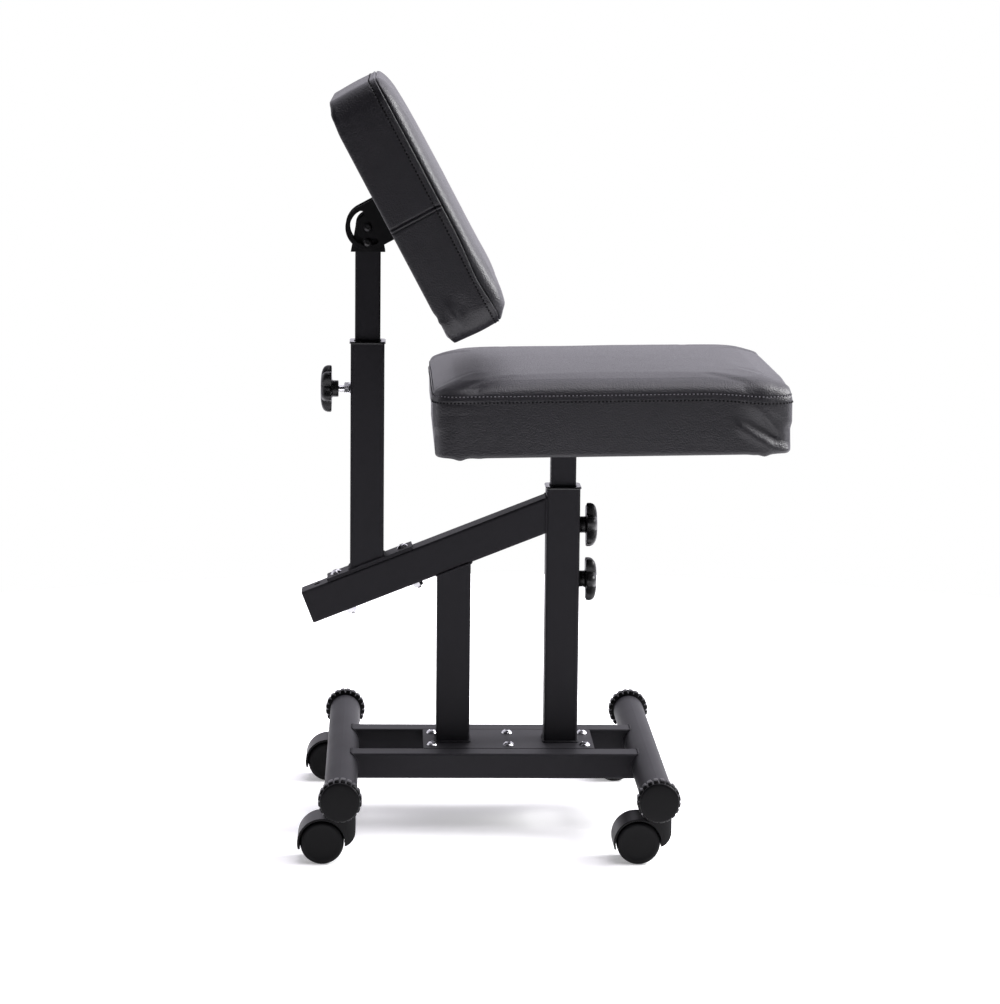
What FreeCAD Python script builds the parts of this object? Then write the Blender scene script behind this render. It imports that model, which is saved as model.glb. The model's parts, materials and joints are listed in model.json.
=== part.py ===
import FreeCAD, Part
import math
import os

# Kneeling massage chair, in millimetres.
# X runs along the base from the chest rest to the seat, Y across the chair, Z up.
# The origin is on the floor, under the middle of the whole chair.

os.makedirs("parts", exist_ok=True)

V = FreeCAD.Vector
X_AXIS = V(1, 0, 0)
Y_AXIS = V(0, 1, 0)
Z_AXIS = V(0, 0, 1)

# ---- driving dimensions -------------------------------------------------------------------------

# rolling base
base_mid_x = -48.5          # middle of the rolling base, left of the chair's middle
tube_spacing = 362.0        # between the axes of the two cross tubes
tube_axis_z = 80.0
tube_d = 38.0
tube_wall = 2.0
base_width = 516.0          # over the end caps
rail_side = 30.0
rail_wall = 2.0
rail_y = 66.3               # from the middle to each rail's axis
rail_axis_z = 81.0

# bolted plate between the rails
plate_mid_x = -30.8
plate_length = 204.0
plate_thick = 6.0
plate_gap = 0.3             # plate edge to rail
ledge_width = 34.0
ledge_thick = 6.0
plate_bolt_pitch_x = 91.3
plate_bolt_y = 32.5

# square posts and tubes
post_side = 40.0
post_wall = 2.0
post_corner = 3.0
inner_side = 30.0
inner_wall = 2.0
inner_corner = 2.5
main_post_x = 32.2
short_post_x = -97.5
chest_post_x = -201.4
main_post_top = 403.4
chest_post_top = 575.4

# inclined beam
beam_slope = 21.65          # degrees, rising towards the main post
beam_top_z0 = 388.75        # height of the beam's top line above x = 0
beam_end_x = -277.8         # x of the beam's upper left corner
spare_hole_x = -260.5
foot_length = 108.0
foot_thick = 4.0
foot_mid_x = -197.2
foot_bolt_half = 42.5

# guide collars and clamp knobs
collar_side = 42.7
collar_rim = 2.8            # thickness of the rim that rests on the tube's end
collar_bore = inner_side + 0.6
sleeve_depth = 25.0
seat_knob_z = (358.3, 292.6)
chest_knob_z = 520.3
chest_knob_gap = 6.8        # bare thread between the knob's hub and the welded nut
knob_d = 56.0
knob_hub_d = 19.7
knob_hub_length = 8.0
knob_head_length = 13.0
knob_lobes = 6

# seat
seat_mid_x = 76.5
seat_bottom_z = 469.2
seat_rake = 1.1             # degrees, front edge up
seat_side = 400.0
seat_side_height = 66.0
seat_height = 88.0
seat_corner = 26.0
seat_edge_round = 14.0
seat_post_bottom = 195.0
board_thick = 12.0
board_margin = 12.0         # from the cushion's side to the board's edge

# chest rest
pivot_x = chest_post_x
pivot_z = 713.0
pad_tilt = 28.2             # degrees, top leaning back
pad_back = 27.5             # pivot axis to the back of the pad's board
pad_length = 302.0
pad_width = 380.0
pad_thick = 75.0
chest_tube_bottom = 380.0
chest_tube_top = 704.0
cheek_radius = 26.6
cheek_inner_y = 21.0
cheek_thick = 3.0
slot_radius = 17.6
slot_width = 7.4
bush_nose_r = 3.6
ear_inner_y = 15.1
ear_thick = 3.0

# casters
wheel_d = 50.0
wheel_width = 18.0
wheel_gap = 12.0            # between the two wheels
caster_trail = 20.7         # swivel axis to wheel axle
caster_y = 203.0            # from the middle to each swivel axis
axle_d = 6.0
stem_d = 10.0

# standard fasteners
m8_r = 4.0
m6_r = 3.0
m8_head_r = 6.75
m6_head_r = 5.25
m8_nut_flats = 13.0
m6_nut_flats = 10.0

# fits
fit = 0.05                  # radial clearance of a pin or thread in its hole
bolt_clear = 0.1

# ---- derived places -----------------------------------------------------------------------------

tube_x = {"left": base_mid_x - tube_spacing / 2, "right": base_mid_x + tube_spacing / 2}
rail_top = rail_axis_z + rail_side / 2
plate_top = rail_top
tube_bottom = tube_axis_z - tube_d / 2
wheel_r = wheel_d / 2
half_post = post_side / 2
beam_tan = math.tan(math.radians(beam_slope))
beam_cos = math.cos(math.radians(beam_slope))


# ---- small helpers ------------------------------------------------------------------------------

def box(x0, x1, y0, y1, z0, z1):
    """A block between two corners."""
    return Part.makeBox(x1 - x0, y1 - y0, z1 - z0, V(x0, y0, z0))


def rod(radius, start, direction, length):
    """A cylinder from a start point."""
    return Part.makeCylinder(radius, length, start, direction)


def moved(shape, x=0.0, y=0.0, z=0.0):
    """A copy of a shape, shifted."""
    copy = shape.copy()
    copy.translate(V(x, y, z))
    return copy


def turned(shape, axis, degrees, centre=V(0, 0, 0)):
    """A copy of a shape, turned about an axis through a point."""
    copy = shape.copy()
    copy.rotate(centre, axis, degrees)
    return copy


def rounded_prism(width, depth, height, corner, z0=0.0):
    """An upright block centred on Z, with its four upright edges rounded."""
    block = box(-width / 2, width / 2, -depth / 2, depth / 2, z0, z0 + height)
    upright = [e for e in block.Edges if abs(e.tangentAt(e.FirstParameter).z) > 0.99]
    return block.makeFillet(corner, upright)


def square_tube(side, wall, corner, length, z0=0.0):
    """An upright square tube centred on Z."""
    outer = rounded_prism(side, side, length, corner, z0)
    inner_corner_r = max(corner - wall, 0.6)
    bore = rounded_prism(side - 2 * wall, side - 2 * wall, length + 2, inner_corner_r, z0 - 1)
    return outer.cut(bore)


def hexagon(flats, height):
    """An upright hexagonal prism centred on Z."""
    radius = flats / math.sqrt(3)
    points = [V(radius * math.cos(math.radians(60 * i)), radius * math.sin(math.radians(60 * i)), 0)
              for i in range(7)]
    return Part.Face(Part.makePolygon(points)).extrude(V(0, 0, height))


def nut(flats, height, bore_r):
    """A hexagonal nut on Z, with its corners turned off."""
    body = hexagon(flats, height)
    corner_r = flats / math.sqrt(3)
    rim = corner_r - flats / 2
    cone = Part.makeCone(flats / 2 + rim * 0.35, corner_r + 2, corner_r + 2 - flats / 2 - rim * 0.35)
    top = Part.makeCylinder(corner_r + 1, height - rim * 0.4, V(0, 0, 0))
    crown = moved(turned(cone, X_AXIS, 180), z=height)
    body = body.common(top.fuse(crown.common(Part.makeCylinder(corner_r + 1, height))))
    return body.cut(rod(bore_r, V(0, 0, -1), Z_AXIS, height + 2))


def button_bolt(shank_r, length, head_r, head_h, socket_flats):
    """A domed socket bolt: the head stands on z = 0, and the shank hangs below it."""
    sphere_r = (head_r ** 2 + head_h ** 2) / (2 * head_h)
    dome = Part.makeSphere(sphere_r, V(0, 0, head_h - sphere_r))
    head = dome.common(Part.makeCylinder(head_r, head_h))
    socket = moved(hexagon(socket_flats, head_h), z=head_h * 0.45)
    shank = rod(shank_r, V(0, 0, -length), Z_AXIS, length + 0.2)
    return head.fuse(shank).cut(socket).removeSplitter()


def save(name, *solids):
    """Write one sub-part, as one solid or as a group of separate ones."""
    shape = solids[0] if len(solids) == 1 else Part.makeCompound(list(solids))
    shape.exportStep("parts/" + name + ".step")


def on_beam(shape):
    """Place a shape drawn on the beam: x up its slope from x = 0, z away from its top face."""
    return moved(turned(shape, Y_AXIS, -beam_slope), z=beam_top_z0)


def on_seat(shape):
    """Place a shape drawn on the seat: z = 0 is the underside, the origin is its middle."""
    return moved(turned(shape, Y_AXIS, -seat_rake), seat_mid_x, 0, seat_bottom_z)


def on_pad(shape):
    """Place a shape drawn on the chest pad: x down the pad, z out of its face, pivot at 0."""
    return moved(turned(shape, Y_AXIS, 90 - pad_tilt), pivot_x, 0, pivot_z)


# ---- rolling base -------------------------------------------------------------------------------

bush_r = 8.5
bush_top = tube_axis_z - 5.0
stem_top = bush_top + 3.0
hood_top = tube_bottom - 2.2
cap_depth = 22.0
cap_tube_cover = 17.0
tube_half_length = base_width / 2 - cap_depth + cap_tube_cover


def cross_tube(x):
    """A round tube across the base, drilled below for the two caster bushes."""
    length = 2 * tube_half_length
    start = V(x, -tube_half_length, tube_axis_z)
    body = rod(tube_d / 2, start, Y_AXIS, length)
    bore = rod(tube_d / 2 - tube_wall, start - V(0, 1, 0), Y_AXIS, length + 2)
    body = body.cut(bore)
    for y in (-caster_y, caster_y):
        body = body.cut(rod(bush_r + fit, V(x, y, tube_bottom - 2), Z_AXIS, tube_d / 2))
    return body


def rail(y):
    """A square rail, coped at both ends to sit against the cross tubes."""
    body = square_tube(rail_side, rail_wall, 2.5, tube_spacing)
    body = turned(body, Y_AXIS, 90)
    body = moved(body, tube_x["left"], y, rail_axis_z)
    for x in tube_x.values():
        body = body.cut(rod(tube_d / 2, V(x, y - rail_side, tube_axis_z), Y_AXIS, 2 * rail_side))
    return body


def plate_bolt_places():
    """The six bolts of the post plate."""
    return [(plate_mid_x + i * plate_bolt_pitch_x, j * plate_bolt_y)
            for i in (-1, 0, 1) for j in (-1, 1)]


def drilled(shape, z0, z1):
    """Cut the six bolt holes through a plate or ledge."""
    for x, y in plate_bolt_places():
        shape = shape.cut(rod(m8_r + bolt_clear, V(x, y, z0 - 1), Z_AXIS, z1 - z0 + 2))
    return shape


def bolt_ledge(side):
    """A flat bar welded inside one rail, under the post plate."""
    edge = rail_y - rail_side / 2
    y0, y1 = sorted((side * edge, side * (edge - ledge_width)))
    z1 = plate_top - plate_thick
    z0 = z1 - ledge_thick
    x0 = plate_mid_x - plate_length / 2
    bar = box(x0, x0 + plate_length, y0, y1, z0, z1)
    for x, y in plate_bolt_places():
        if y * side > 0:
            bar = bar.cut(rod(m8_r + bolt_clear, V(x, y, z0 - 1), Z_AXIS, ledge_thick + 2))
    return bar


def post_plate():
    """The plate that carries both posts, flush with the rails."""
    half_y = rail_y - rail_side / 2 - plate_gap
    plate = rounded_prism(plate_length, 2 * half_y, plate_thick, 3.0)
    plate = moved(plate, plate_mid_x, 0, plate_top - plate_thick)
    return drilled(plate, plate_top - plate_thick, plate_top)


def end_cap(x, side):
    """A plastic end cap: a toothed grip ring over the tube and a smooth round face."""
    teeth = 20
    tip_r = 25.0
    root_r = 23.2
    face_r = 22.6
    ring_depth = cap_depth - 4.0
    points = []
    for i in range(teeth):
        step = 2 * math.pi / teeth
        for share, radius in ((0.0, root_r), (0.45, tip_r), (0.75, tip_r)):
            angle = (i + share) * step
            points.append(V(radius * math.cos(angle), radius * math.sin(angle), 0))
    points.append(points[0])
    ring = Part.Face(Part.makePolygon(points)).extrude(V(0, 0, ring_depth))
    face = rod(face_r, V(0, 0, ring_depth - 1), Z_AXIS, cap_depth - ring_depth + 1)
    rim = [e for e in face.Edges if abs(e.BoundBox.ZMin - cap_depth) < 0.01 and e.Closed]
    face = face.makeFillet(2.4, rim)
    cap = ring.fuse(face).cut(rod(tube_d / 2 + fit, V(0, 0, -1), Z_AXIS, cap_tube_cover + 1))
    cap = turned(cap, X_AXIS, -90 * side)
    return moved(cap, x, side * (base_width / 2 - cap_depth), tube_axis_z)


def stem_bush(x, y):
    """A threaded bush welded through the underside of a cross tube."""
    z0 = tube_bottom - 1.0
    body = rod(bush_r, V(x, y, z0), Z_AXIS, bush_top - z0)
    return body.cut(rod(stem_d / 2 + fit, V(x, y, z0 - 1), Z_AXIS, bush_top - z0 + 2))


def caster_stem(x, y):
    """A swivel stem: threaded above, a collar at the bush, and a plain pin in the hood."""
    pin_bottom = 34.0
    body = rod(stem_d / 2, V(x, y, pin_bottom), Z_AXIS, stem_top - pin_bottom)
    collar = rod(8.0, V(x, y, hood_top + 0.2), Z_AXIS, tube_bottom - 1.0 - hood_top - 0.2)
    return body.fuse(collar)


# ---- casters ------------------------------------------------------------------------------------

hood_r = 28.4
arch_r = 26.2
hood_half_y = 24.0
web_half_y = 5.0
hood_nose_x = 17.5
tail_angle = 194.0


def hood_outline():
    """The hood's side outline, drawn with the swivel axis at x = 0 and the floor at z = 0."""
    cx, cz = -caster_trail, wheel_r
    tail = V(cx + hood_r * math.cos(math.radians(tail_angle)), 0,
             cz + hood_r * math.sin(math.radians(tail_angle)))
    join_angle = math.radians(66.0)
    join = V(cx + hood_r * math.cos(join_angle), 0, cz + hood_r * math.sin(join_angle))
    crest = Part.Arc(tail, V(cx - hood_r * math.cos(math.radians(50)), 0,
                             cz + hood_r * math.sin(math.radians(50))), join)
    shoulder = V(-6.0, 0, hood_top)
    nose_top = V(hood_nose_x, 0, hood_top)
    nose_low = V(hood_nose_x, 0, 38.0)
    lip = V(7.0, 0, 21.6)
    chin = Part.Arc(nose_low, V(14.6, 0, 27.6), lip)
    heel = V(cx, 0, 16.0)
    edges = [crest.toShape(), Part.makeLine(join, shoulder), Part.makeLine(shoulder, nose_top),
             Part.makeLine(nose_top, nose_low), chin.toShape(), Part.makeLine(lip, heel),
             Part.makeLine(heel, tail)]
    return Part.Face(Part.Wire(edges))


def caster_hood():
    """The hood over a twin-wheel caster: a fender, a stem housing and a web between the wheels."""
    side = hood_outline().extrude(V(0, 2 * hood_half_y, 0))
    side.translate(V(0, -hood_half_y, 0))
    tail_x = -caster_trail - hood_r - 1
    plan = box(tail_x, 0, -hood_half_y, hood_half_y, 0, hood_top + 1)
    nose = Part.makeCylinder(hood_half_y, hood_top + 1)
    plan = plan.fuse(nose).removeSplitter()
    crown = box(tail_x, hood_half_y, -hood_half_y, hood_half_y, 0, hood_top)
    ridge = [e for e in crown.Edges
             if abs(e.BoundBox.ZMin - hood_top) < 0.01 and e.BoundBox.XLength > 10]
    crown = crown.makeFillet(7.0, ridge)
    body = side.common(plan).common(crown)
    axle_start = V(-caster_trail, -hood_half_y - 1, wheel_r)
    for y in (-hood_half_y - 1, web_half_y):
        body = body.cut(rod(arch_r, V(-caster_trail, y, wheel_r), Y_AXIS,
                            hood_half_y + 1 - web_half_y))
    axle_boss = rod(9.0, V(-caster_trail, -web_half_y, wheel_r), Y_AXIS, 2 * web_half_y)
    trim = box(tail_x, hood_nose_x, -web_half_y - 1, web_half_y + 1, 0, wheel_r)
    window = trim.cut(rod(hood_r - 3.0, V(-caster_trail, -20, wheel_r), Y_AXIS, 40))
    web_floor = box(tail_x, 6.0, -web_half_y - 1, web_half_y + 1, 0, wheel_r).cut(window)
    body = body.cut(web_floor).fuse(axle_boss)
    body = body.cut(rod(axle_d / 2 + 0.02, axle_start, Y_AXIS, 2 * hood_half_y + 2))
    body = body.cut(rod(stem_d / 2 + fit, V(0, 0, 33.5), Z_AXIS, hood_top))
    return body.removeSplitter()


def caster_axle():
    """The steel axle, held in the web."""
    half = 19.0
    return rod(axle_d / 2, V(-caster_trail, -half, wheel_r), Y_AXIS, 2 * half)


def caster_wheel(side):
    """A solid plastic wheel with a rounded tread, a dished face and a blind bore."""
    inner = wheel_gap / 2
    outer = inner + wheel_width
    tread = 3.0
    dish_r = 20.0
    dish = 1.0
    half = math.sqrt(0.5) * tread
    profile = [
        Part.makeLine(V(0, inner, 0), V(0, inner, wheel_r - tread)),
        Part.Arc(V(0, inner, wheel_r - tread), V(0, inner + tread - half, wheel_r - tread + half),
                 V(0, inner + tread, wheel_r)).toShape(),
        Part.makeLine(V(0, inner + tread, wheel_r), V(0, outer - tread, wheel_r)),
        Part.Arc(V(0, outer - tread, wheel_r), V(0, outer - tread + half, wheel_r - tread + half),
                 V(0, outer, wheel_r - tread)).toShape(),
        Part.makeLine(V(0, outer, wheel_r - tread), V(0, outer, dish_r)),
        Part.makeLine(V(0, outer, dish_r), V(0, outer - dish, dish_r - 2 * dish)),
        Part.makeLine(V(0, outer - dish, dish_r - 2 * dish), V(0, outer - dish, 0)),
        Part.makeLine(V(0, outer - dish, 0), V(0, inner, 0)),
    ]
    wheel = Part.Face(Part.Wire(profile)).revolve(V(0, 0, 0), Y_AXIS, 360)
    bore_depth = 19.5 - inner
    wheel = wheel.cut(rod(axle_d / 2 + fit, V(0, inner - 1, 0), Y_AXIS, bore_depth + 1))
    if side < 0:
        wheel = turned(wheel, Z_AXIS, 180)
    return moved(wheel, -caster_trail, 0, wheel_r)


# ---- frame --------------------------------------------------------------------------------------

def beam_envelope():
    """The beam's full outer block, without its bore."""
    end = beam_end_x / beam_cos
    block = rounded_prism(post_side, post_side, 420.0, post_corner)
    block = turned(block, Y_AXIS, 90)
    block = moved(block, end, 0, -half_post)
    return on_beam(block)


def main_post():
    """The post that the seat slides in, drilled for the two clamp inserts."""
    body = square_tube(post_side, post_wall, post_corner, main_post_top - plate_top, plate_top)
    for z in seat_knob_z:
        body = body.cut(rod(5.5 + fit, V(half_post - post_wall - 1, 0, z), X_AXIS, post_wall + 2))
    return moved(body, main_post_x)


def short_post():
    """The post under the beam, mitred to its underside."""
    body = square_tube(post_side, post_wall, post_corner, 300.0, plate_top)
    body = moved(body, short_post_x)
    above = on_beam(box(-400, 100, -60, 60, -post_side, 200))
    return body.cut(above)


def beam():
    """The inclined beam, drilled for the foot bolts and one spare hole in its top wall."""
    end = beam_end_x / beam_cos
    body = square_tube(post_side, post_wall, post_corner, 420.0)
    body = turned(body, Y_AXIS, 90)
    body = moved(body, end, 0, -half_post)
    for x in foot_bolt_xs():
        body = body.cut(rod(m8_r + bolt_clear, V(x, 0, -post_side - 1), Z_AXIS, post_side + 2))
    spare_r = 4.2
    body = body.cut(rod(spare_r, V(spare_hole_x / beam_cos, 0, -post_wall - 1), Z_AXIS, 4))
    body = on_beam(body)
    return body.cut(box(main_post_x - half_post, 400, -100, 100, 0, 700))


def foot_bolt_xs():
    """Places of the two foot bolts along the beam."""
    middle = foot_mid_x / beam_cos
    return (middle - foot_bolt_half, middle + foot_bolt_half)


def beam_end_plate():
    """A thin plate that closes the beam's lower end."""
    end = beam_end_x / beam_cos
    plate = rounded_prism(post_side, post_side, 1.5, post_corner)
    plate = turned(plate, Y_AXIS, -90)
    return on_beam(moved(plate, end, 0, -half_post))


def foot_plate():
    """The flange under the chest tube, flat on the beam."""
    plate = rounded_prism(foot_length, post_side, foot_thick, 2.0)
    plate = moved(plate, foot_mid_x / beam_cos)
    for x in foot_bolt_xs():
        plate = plate.cut(rod(m8_r + bolt_clear, V(x, 0, -1), Z_AXIS, foot_thick + 2))
    return on_beam(plate)


def chest_outer_tube():
    """The upright tube that the chest rest slides in, mitred to the foot plate."""
    body = square_tube(post_side, post_wall, post_corner, chest_post_top - 250, 250)
    body = body.cut(rod(m8_r + 0.3, V(-half_post - 1, 0, chest_knob_z), X_AXIS, post_wall + 2))
    body = moved(body, chest_post_x)
    below = on_beam(box(-400, 100, -60, 60, -200, foot_thick))
    return body.cut(below)


def guide_collar(x, top):
    """A plastic collar: a flat chamfered rim on the tube's end and a sleeve inside it."""
    rim = rounded_prism(collar_side, collar_side, collar_rim, 4.0, top)
    upper = [e for e in rim.Edges if e.BoundBox.ZMin > top + collar_rim - 0.01]
    rim = rim.makeChamfer(0.9, upper)
    bore_side = post_side - 2 * post_wall - 0.2
    sleeve = rounded_prism(bore_side, bore_side, sleeve_depth, 1.0, top - sleeve_depth)
    body = rim.fuse(sleeve)
    hole = rounded_prism(collar_bore, collar_bore, sleeve_depth + collar_rim + 2,
                         inner_corner, top - sleeve_depth - 1)
    return moved(body.cut(hole).removeSplitter(), x)


def seat_knob_insert(z):
    """A threaded insert set through the main post's wall from inside."""
    wall_inner = half_post - post_wall
    body = rod(5.5, V(wall_inner, 0, z), X_AXIS, post_wall)
    flange = rod(7.0, V(inner_side / 2 + 0.6, 0, z), X_AXIS, wall_inner - inner_side / 2 - 0.6)
    body = body.fuse(flange)
    body = body.cut(rod(m8_r + fit, V(0, 0, z), X_AXIS, half_post + 2))
    return moved(body, main_post_x)


def chest_knob_nut():
    """A nut welded on the chest tube's back face, with its weld bead."""
    height = 7.5
    body = nut(m8_nut_flats, height, m8_r + fit)
    bead = Part.makeCone(8.4, 6.6, 2.4)
    bead = bead.cut(rod(m8_r + fit, V(0, 0, -1), Z_AXIS, 5))
    body = turned(body.fuse(bead), Y_AXIS, -90)
    return moved(body, chest_post_x - half_post, 0, chest_knob_z)


# ---- knobs --------------------------------------------------------------------------------------

def knob():
    """A star knob on Z: the hub's end face at z = 0 and the lobed head above it."""
    back = knob_hub_length
    front = knob_hub_length + knob_head_length
    tip_r = knob_d / 2
    lobe_r = 8.0
    star = rod(tip_r - 8.5, V(0, 0, back), Z_AXIS, knob_head_length)
    for i in range(knob_lobes):
        angle = math.radians(360.0 / knob_lobes * i)
        at = V((tip_r - lobe_r) * math.cos(angle), (tip_r - lobe_r) * math.sin(angle), back)
        star = star.fuse(rod(lobe_r, at, Z_AXIS, knob_head_length))
    crown_profile = Part.Wire([
        Part.makeLine(V(0, 0, back), V(tip_r, 0, back)),
        Part.Arc(V(tip_r, 0, back), V(tip_r - 2.2, 0, back + 8.0), V(tip_r - 8.5, 0, front)).toShape(),
        Part.makeLine(V(tip_r - 8.5, 0, front), V(0, 0, front)),
        Part.makeLine(V(0, 0, front), V(0, 0, back)),
    ])
    crown = Part.Face(crown_profile).revolve(V(0, 0, 0), Z_AXIS, 360)
    head = star.common(crown)
    hub = rod(knob_hub_d / 2, V(0, 0, 0), Z_AXIS, back)
    body = head.fuse(hub).removeSplitter()
    return body.cut(rod(m8_r + fit, V(0, 0, -1), Z_AXIS, stud_in_knob + 1))


stud_in_knob = 15.0


def stud(reach):
    """A plain stud on Z that runs from inside the knob to its tip below z = 0."""
    body = rod(m8_r, V(0, 0, -reach), Z_AXIS, reach + stud_in_knob)
    tip = [e for e in body.Edges if abs(e.BoundBox.ZMax + reach) < 0.01 and e.Closed]
    return body.makeChamfer(0.8, tip)


def seat_knob_place(shape, z):
    """Put a knob or stud on the main post's front face."""
    return moved(turned(shape, Y_AXIS, 90), main_post_x + half_post + 0.1, 0, z)


def chest_knob_place(shape):
    """Put the knob or stud behind the chest tube, outside the welded nut."""
    reach = half_post + 7.5 + chest_knob_gap
    return moved(turned(shape, Y_AXIS, -90), chest_post_x - reach, 0, chest_knob_z)


# ---- seat ---------------------------------------------------------------------------------------

seat_plate_thick = 5.0
seat_plate_x = 200.0
seat_plate_y = 160.0


def seat_post():
    """The square tube under the seat, mitred to the raked plate."""
    body = square_tube(inner_side, inner_wall, inner_corner, 500, seat_post_bottom)
    body = moved(body, main_post_x)
    above = on_seat(box(-400, 400, -60, 60, -seat_plate_thick, 400))
    return body.cut(above)


def seat_screw_places():
    """The four screws that hold the board on the seat plate."""
    return [(i * (seat_plate_x / 2 - 15), j * (seat_plate_y / 2 - 15)) for i in (-1, 1) for j in (-1, 1)]


def seat_plate():
    """The plate welded on the seat post."""
    plate = rounded_prism(seat_plate_x, seat_plate_y, seat_plate_thick, 8.0, -seat_plate_thick)
    for x, y in seat_screw_places():
        plate = plate.cut(rod(m6_r + bolt_clear, V(x, y, -10), Z_AXIS, 12))
    return on_seat(plate)


def seat_board():
    """The plywood board inside the seat cushion."""
    side = seat_side - 2 * board_margin
    board = rounded_prism(side, side, board_thick, 18.0)
    for x, y in seat_screw_places():
        board = board.cut(rod(m6_r + fit, V(x, y, -1), Z_AXIS, 10.2))
    return on_seat(board)


def seat_screw(x, y):
    """A screw up through the seat plate into the board."""
    length = seat_plate_thick + 9.0
    screw = turned(button_bolt(m6_r, length, m6_head_r, 3.3, 4.0), X_AXIS, 180)
    return on_seat(moved(screw, x, y, -seat_plate_thick))


def cushion(length, width, side_height, height, corner, edge_round):
    """A plain cushion block with rounded corners and top edge, hollowed below for its board."""
    block = rounded_prism(length, width, height, corner)
    top = [e for e in block.Edges if e.BoundBox.ZMin > height - 0.01]
    block = block.makeFillet(edge_round, top)
    board = rounded_prism(length - 2 * board_margin + 0.4, width - 2 * board_margin + 0.4,
                          board_thick + 1.2, 18.0, -1.0)
    return block.cut(board)


def seat_cushion():
    """The seat's foam and cover."""
    return on_seat(cushion(seat_side, seat_side, seat_side_height, seat_height,
                           seat_corner, seat_edge_round))


# ---- chest rest ---------------------------------------------------------------------------------

lock_z = pivot_z - slot_radius


def chest_inner_tube():
    """The square tube that slides in the chest post, cross-drilled for the lower tilt bolt."""
    body = square_tube(inner_side, inner_wall, inner_corner, chest_tube_top - chest_tube_bottom,
                       chest_tube_bottom)
    body = body.cut(rod(m6_r + fit, V(0, -20, lock_z), Y_AXIS, 40))
    return moved(body, pivot_x)


def saddle():
    """The head on the chest tube: a skirt flared fore and aft, and two rounded ears."""
    skirt_bottom = 684.0
    skirt_top = 698.0
    outer_y = ear_inner_y + ear_thick
    foot_half = 20.3
    neck_half = 17.5
    shoulder_half = 14.6
    shoulder_z = pivot_z + 2.0
    crown_z = pivot_z + 17.5
    arc_half = shoulder_half * 0.72
    arc_z = crown_z - 4.6
    points = [V(-foot_half, 0, skirt_bottom), V(-neck_half, 0, skirt_top),
              V(-shoulder_half, 0, shoulder_z)]
    mirrored = [V(-p.x, 0, p.z) for p in reversed(points)]
    edges = [Part.makeLine(points[0], points[1]), Part.makeLine(points[1], points[2])]
    for start, through, end in (
            (points[2], V(-arc_half, 0, arc_z), V(0, 0, crown_z)),
            (V(0, 0, crown_z), V(arc_half, 0, arc_z), mirrored[0])):
        edges.append(Part.Arc(start, through, end).toShape())
    edges += [Part.makeLine(mirrored[0], mirrored[1]), Part.makeLine(mirrored[1], mirrored[2]),
              Part.makeLine(mirrored[2], points[0])]
    body = Part.Face(Part.Wire(edges)).extrude(V(0, 2 * outer_y, 0))
    body.translate(V(0, -outer_y, 0))
    pocket = rounded_prism(inner_side + 0.1, inner_side + 0.1, skirt_top - skirt_bottom + 2,
                           inner_corner, skirt_bottom - 1)
    between_ears = box(-25, 25, -ear_inner_y, ear_inner_y, skirt_top, crown_z + 1)
    body = body.cut(pocket).cut(between_ears)
    for z in (pivot_z, lock_z):
        body = body.cut(rod(m6_r + fit, V(0, -30, z), Y_AXIS, 60))
    return moved(body, pivot_x)


bush_flange_r = 6.6
cheek_play = 0.2


def tilt_bush(z, side):
    """A flanged bush between an ear and a cheek; its nose turns in the cheek's hole or slot."""
    flange_y = ear_inner_y + ear_thick
    nose_y = cheek_inner_y - cheek_play
    flange = rod(bush_flange_r, V(0, flange_y, 0), Y_AXIS, nose_y - flange_y)
    nose = rod(bush_nose_r, V(0, nose_y, 0), Y_AXIS, cheek_thick + 2 * cheek_play)
    body = flange.fuse(nose).cut(rod(m6_r + fit, V(0, 0, 0), Y_AXIS, 40))
    if side < 0:
        body = turned(body, Z_AXIS, 180)
    return moved(body, pivot_x, 0, z)


bush_end_y = cheek_inner_y + cheek_thick + cheek_play


def tilt_bolt(z):
    """A through bolt with its domed head on the near side."""
    nut_room = 7.0
    bolt = button_bolt(m6_r, 2 * bush_end_y + nut_room, m6_head_r, 3.3, 4.0)
    bolt = turned(bolt, X_AXIS, 90)
    return moved(bolt, pivot_x, -bush_end_y, z)


def tilt_nut(z):
    """The nut of a tilt bolt, on the far side."""
    body = turned(nut(m6_nut_flats, 5.0, m6_r + fit), X_AXIS, -90)
    return moved(body, pivot_x, bush_end_y, z)


def pad_screw_places():
    """The four screws that hold the pad's board on the bracket."""
    return [(i * 36.0, j * 44.0) for i in (-1, 1) for j in (-1, 1)]


def tilt_bracket():
    """The bracket on the pad's back: a plate with two slotted cheeks."""
    plate_z = pad_back - cheek_thick
    plate = rounded_prism(96.0, 116.0, cheek_thick, 8.0, plate_z)
    for x, y in pad_screw_places():
        plate = plate.cut(rod(m6_r + bolt_clear, V(x, y, 0), Z_AXIS, 40))
    body = plate
    for y0 in (-cheek_inner_y - cheek_thick, cheek_inner_y):
        cheek = rod(cheek_radius, V(0, y0, 0), Y_AXIS, cheek_thick)
        cheek = cheek.fuse(box(-cheek_radius, cheek_radius, y0, y0 + cheek_thick, 0, plate_z))
        slot = rod(slot_radius + slot_width / 2, V(0, y0 - 1, 0), Y_AXIS, cheek_thick + 2)
        slot = slot.cut(rod(slot_radius - slot_width / 2, V(0, y0 - 1, 0), Y_AXIS, cheek_thick + 2))
        slot = slot.common(box(-60, 60, y0 - 1, y0 + cheek_thick + 1, -60, 0))
        for x in (-slot_radius, slot_radius):
            slot = slot.fuse(rod(slot_width / 2, V(x, y0 - 1, 0), Y_AXIS, cheek_thick + 2))
        cheek = cheek.cut(slot)
        cheek = cheek.cut(rod(bush_nose_r + fit, V(0, y0 - 1, 0), Y_AXIS, cheek_thick + 2))
        body = body.fuse(cheek)
    return on_pad(body.removeSplitter())


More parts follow.
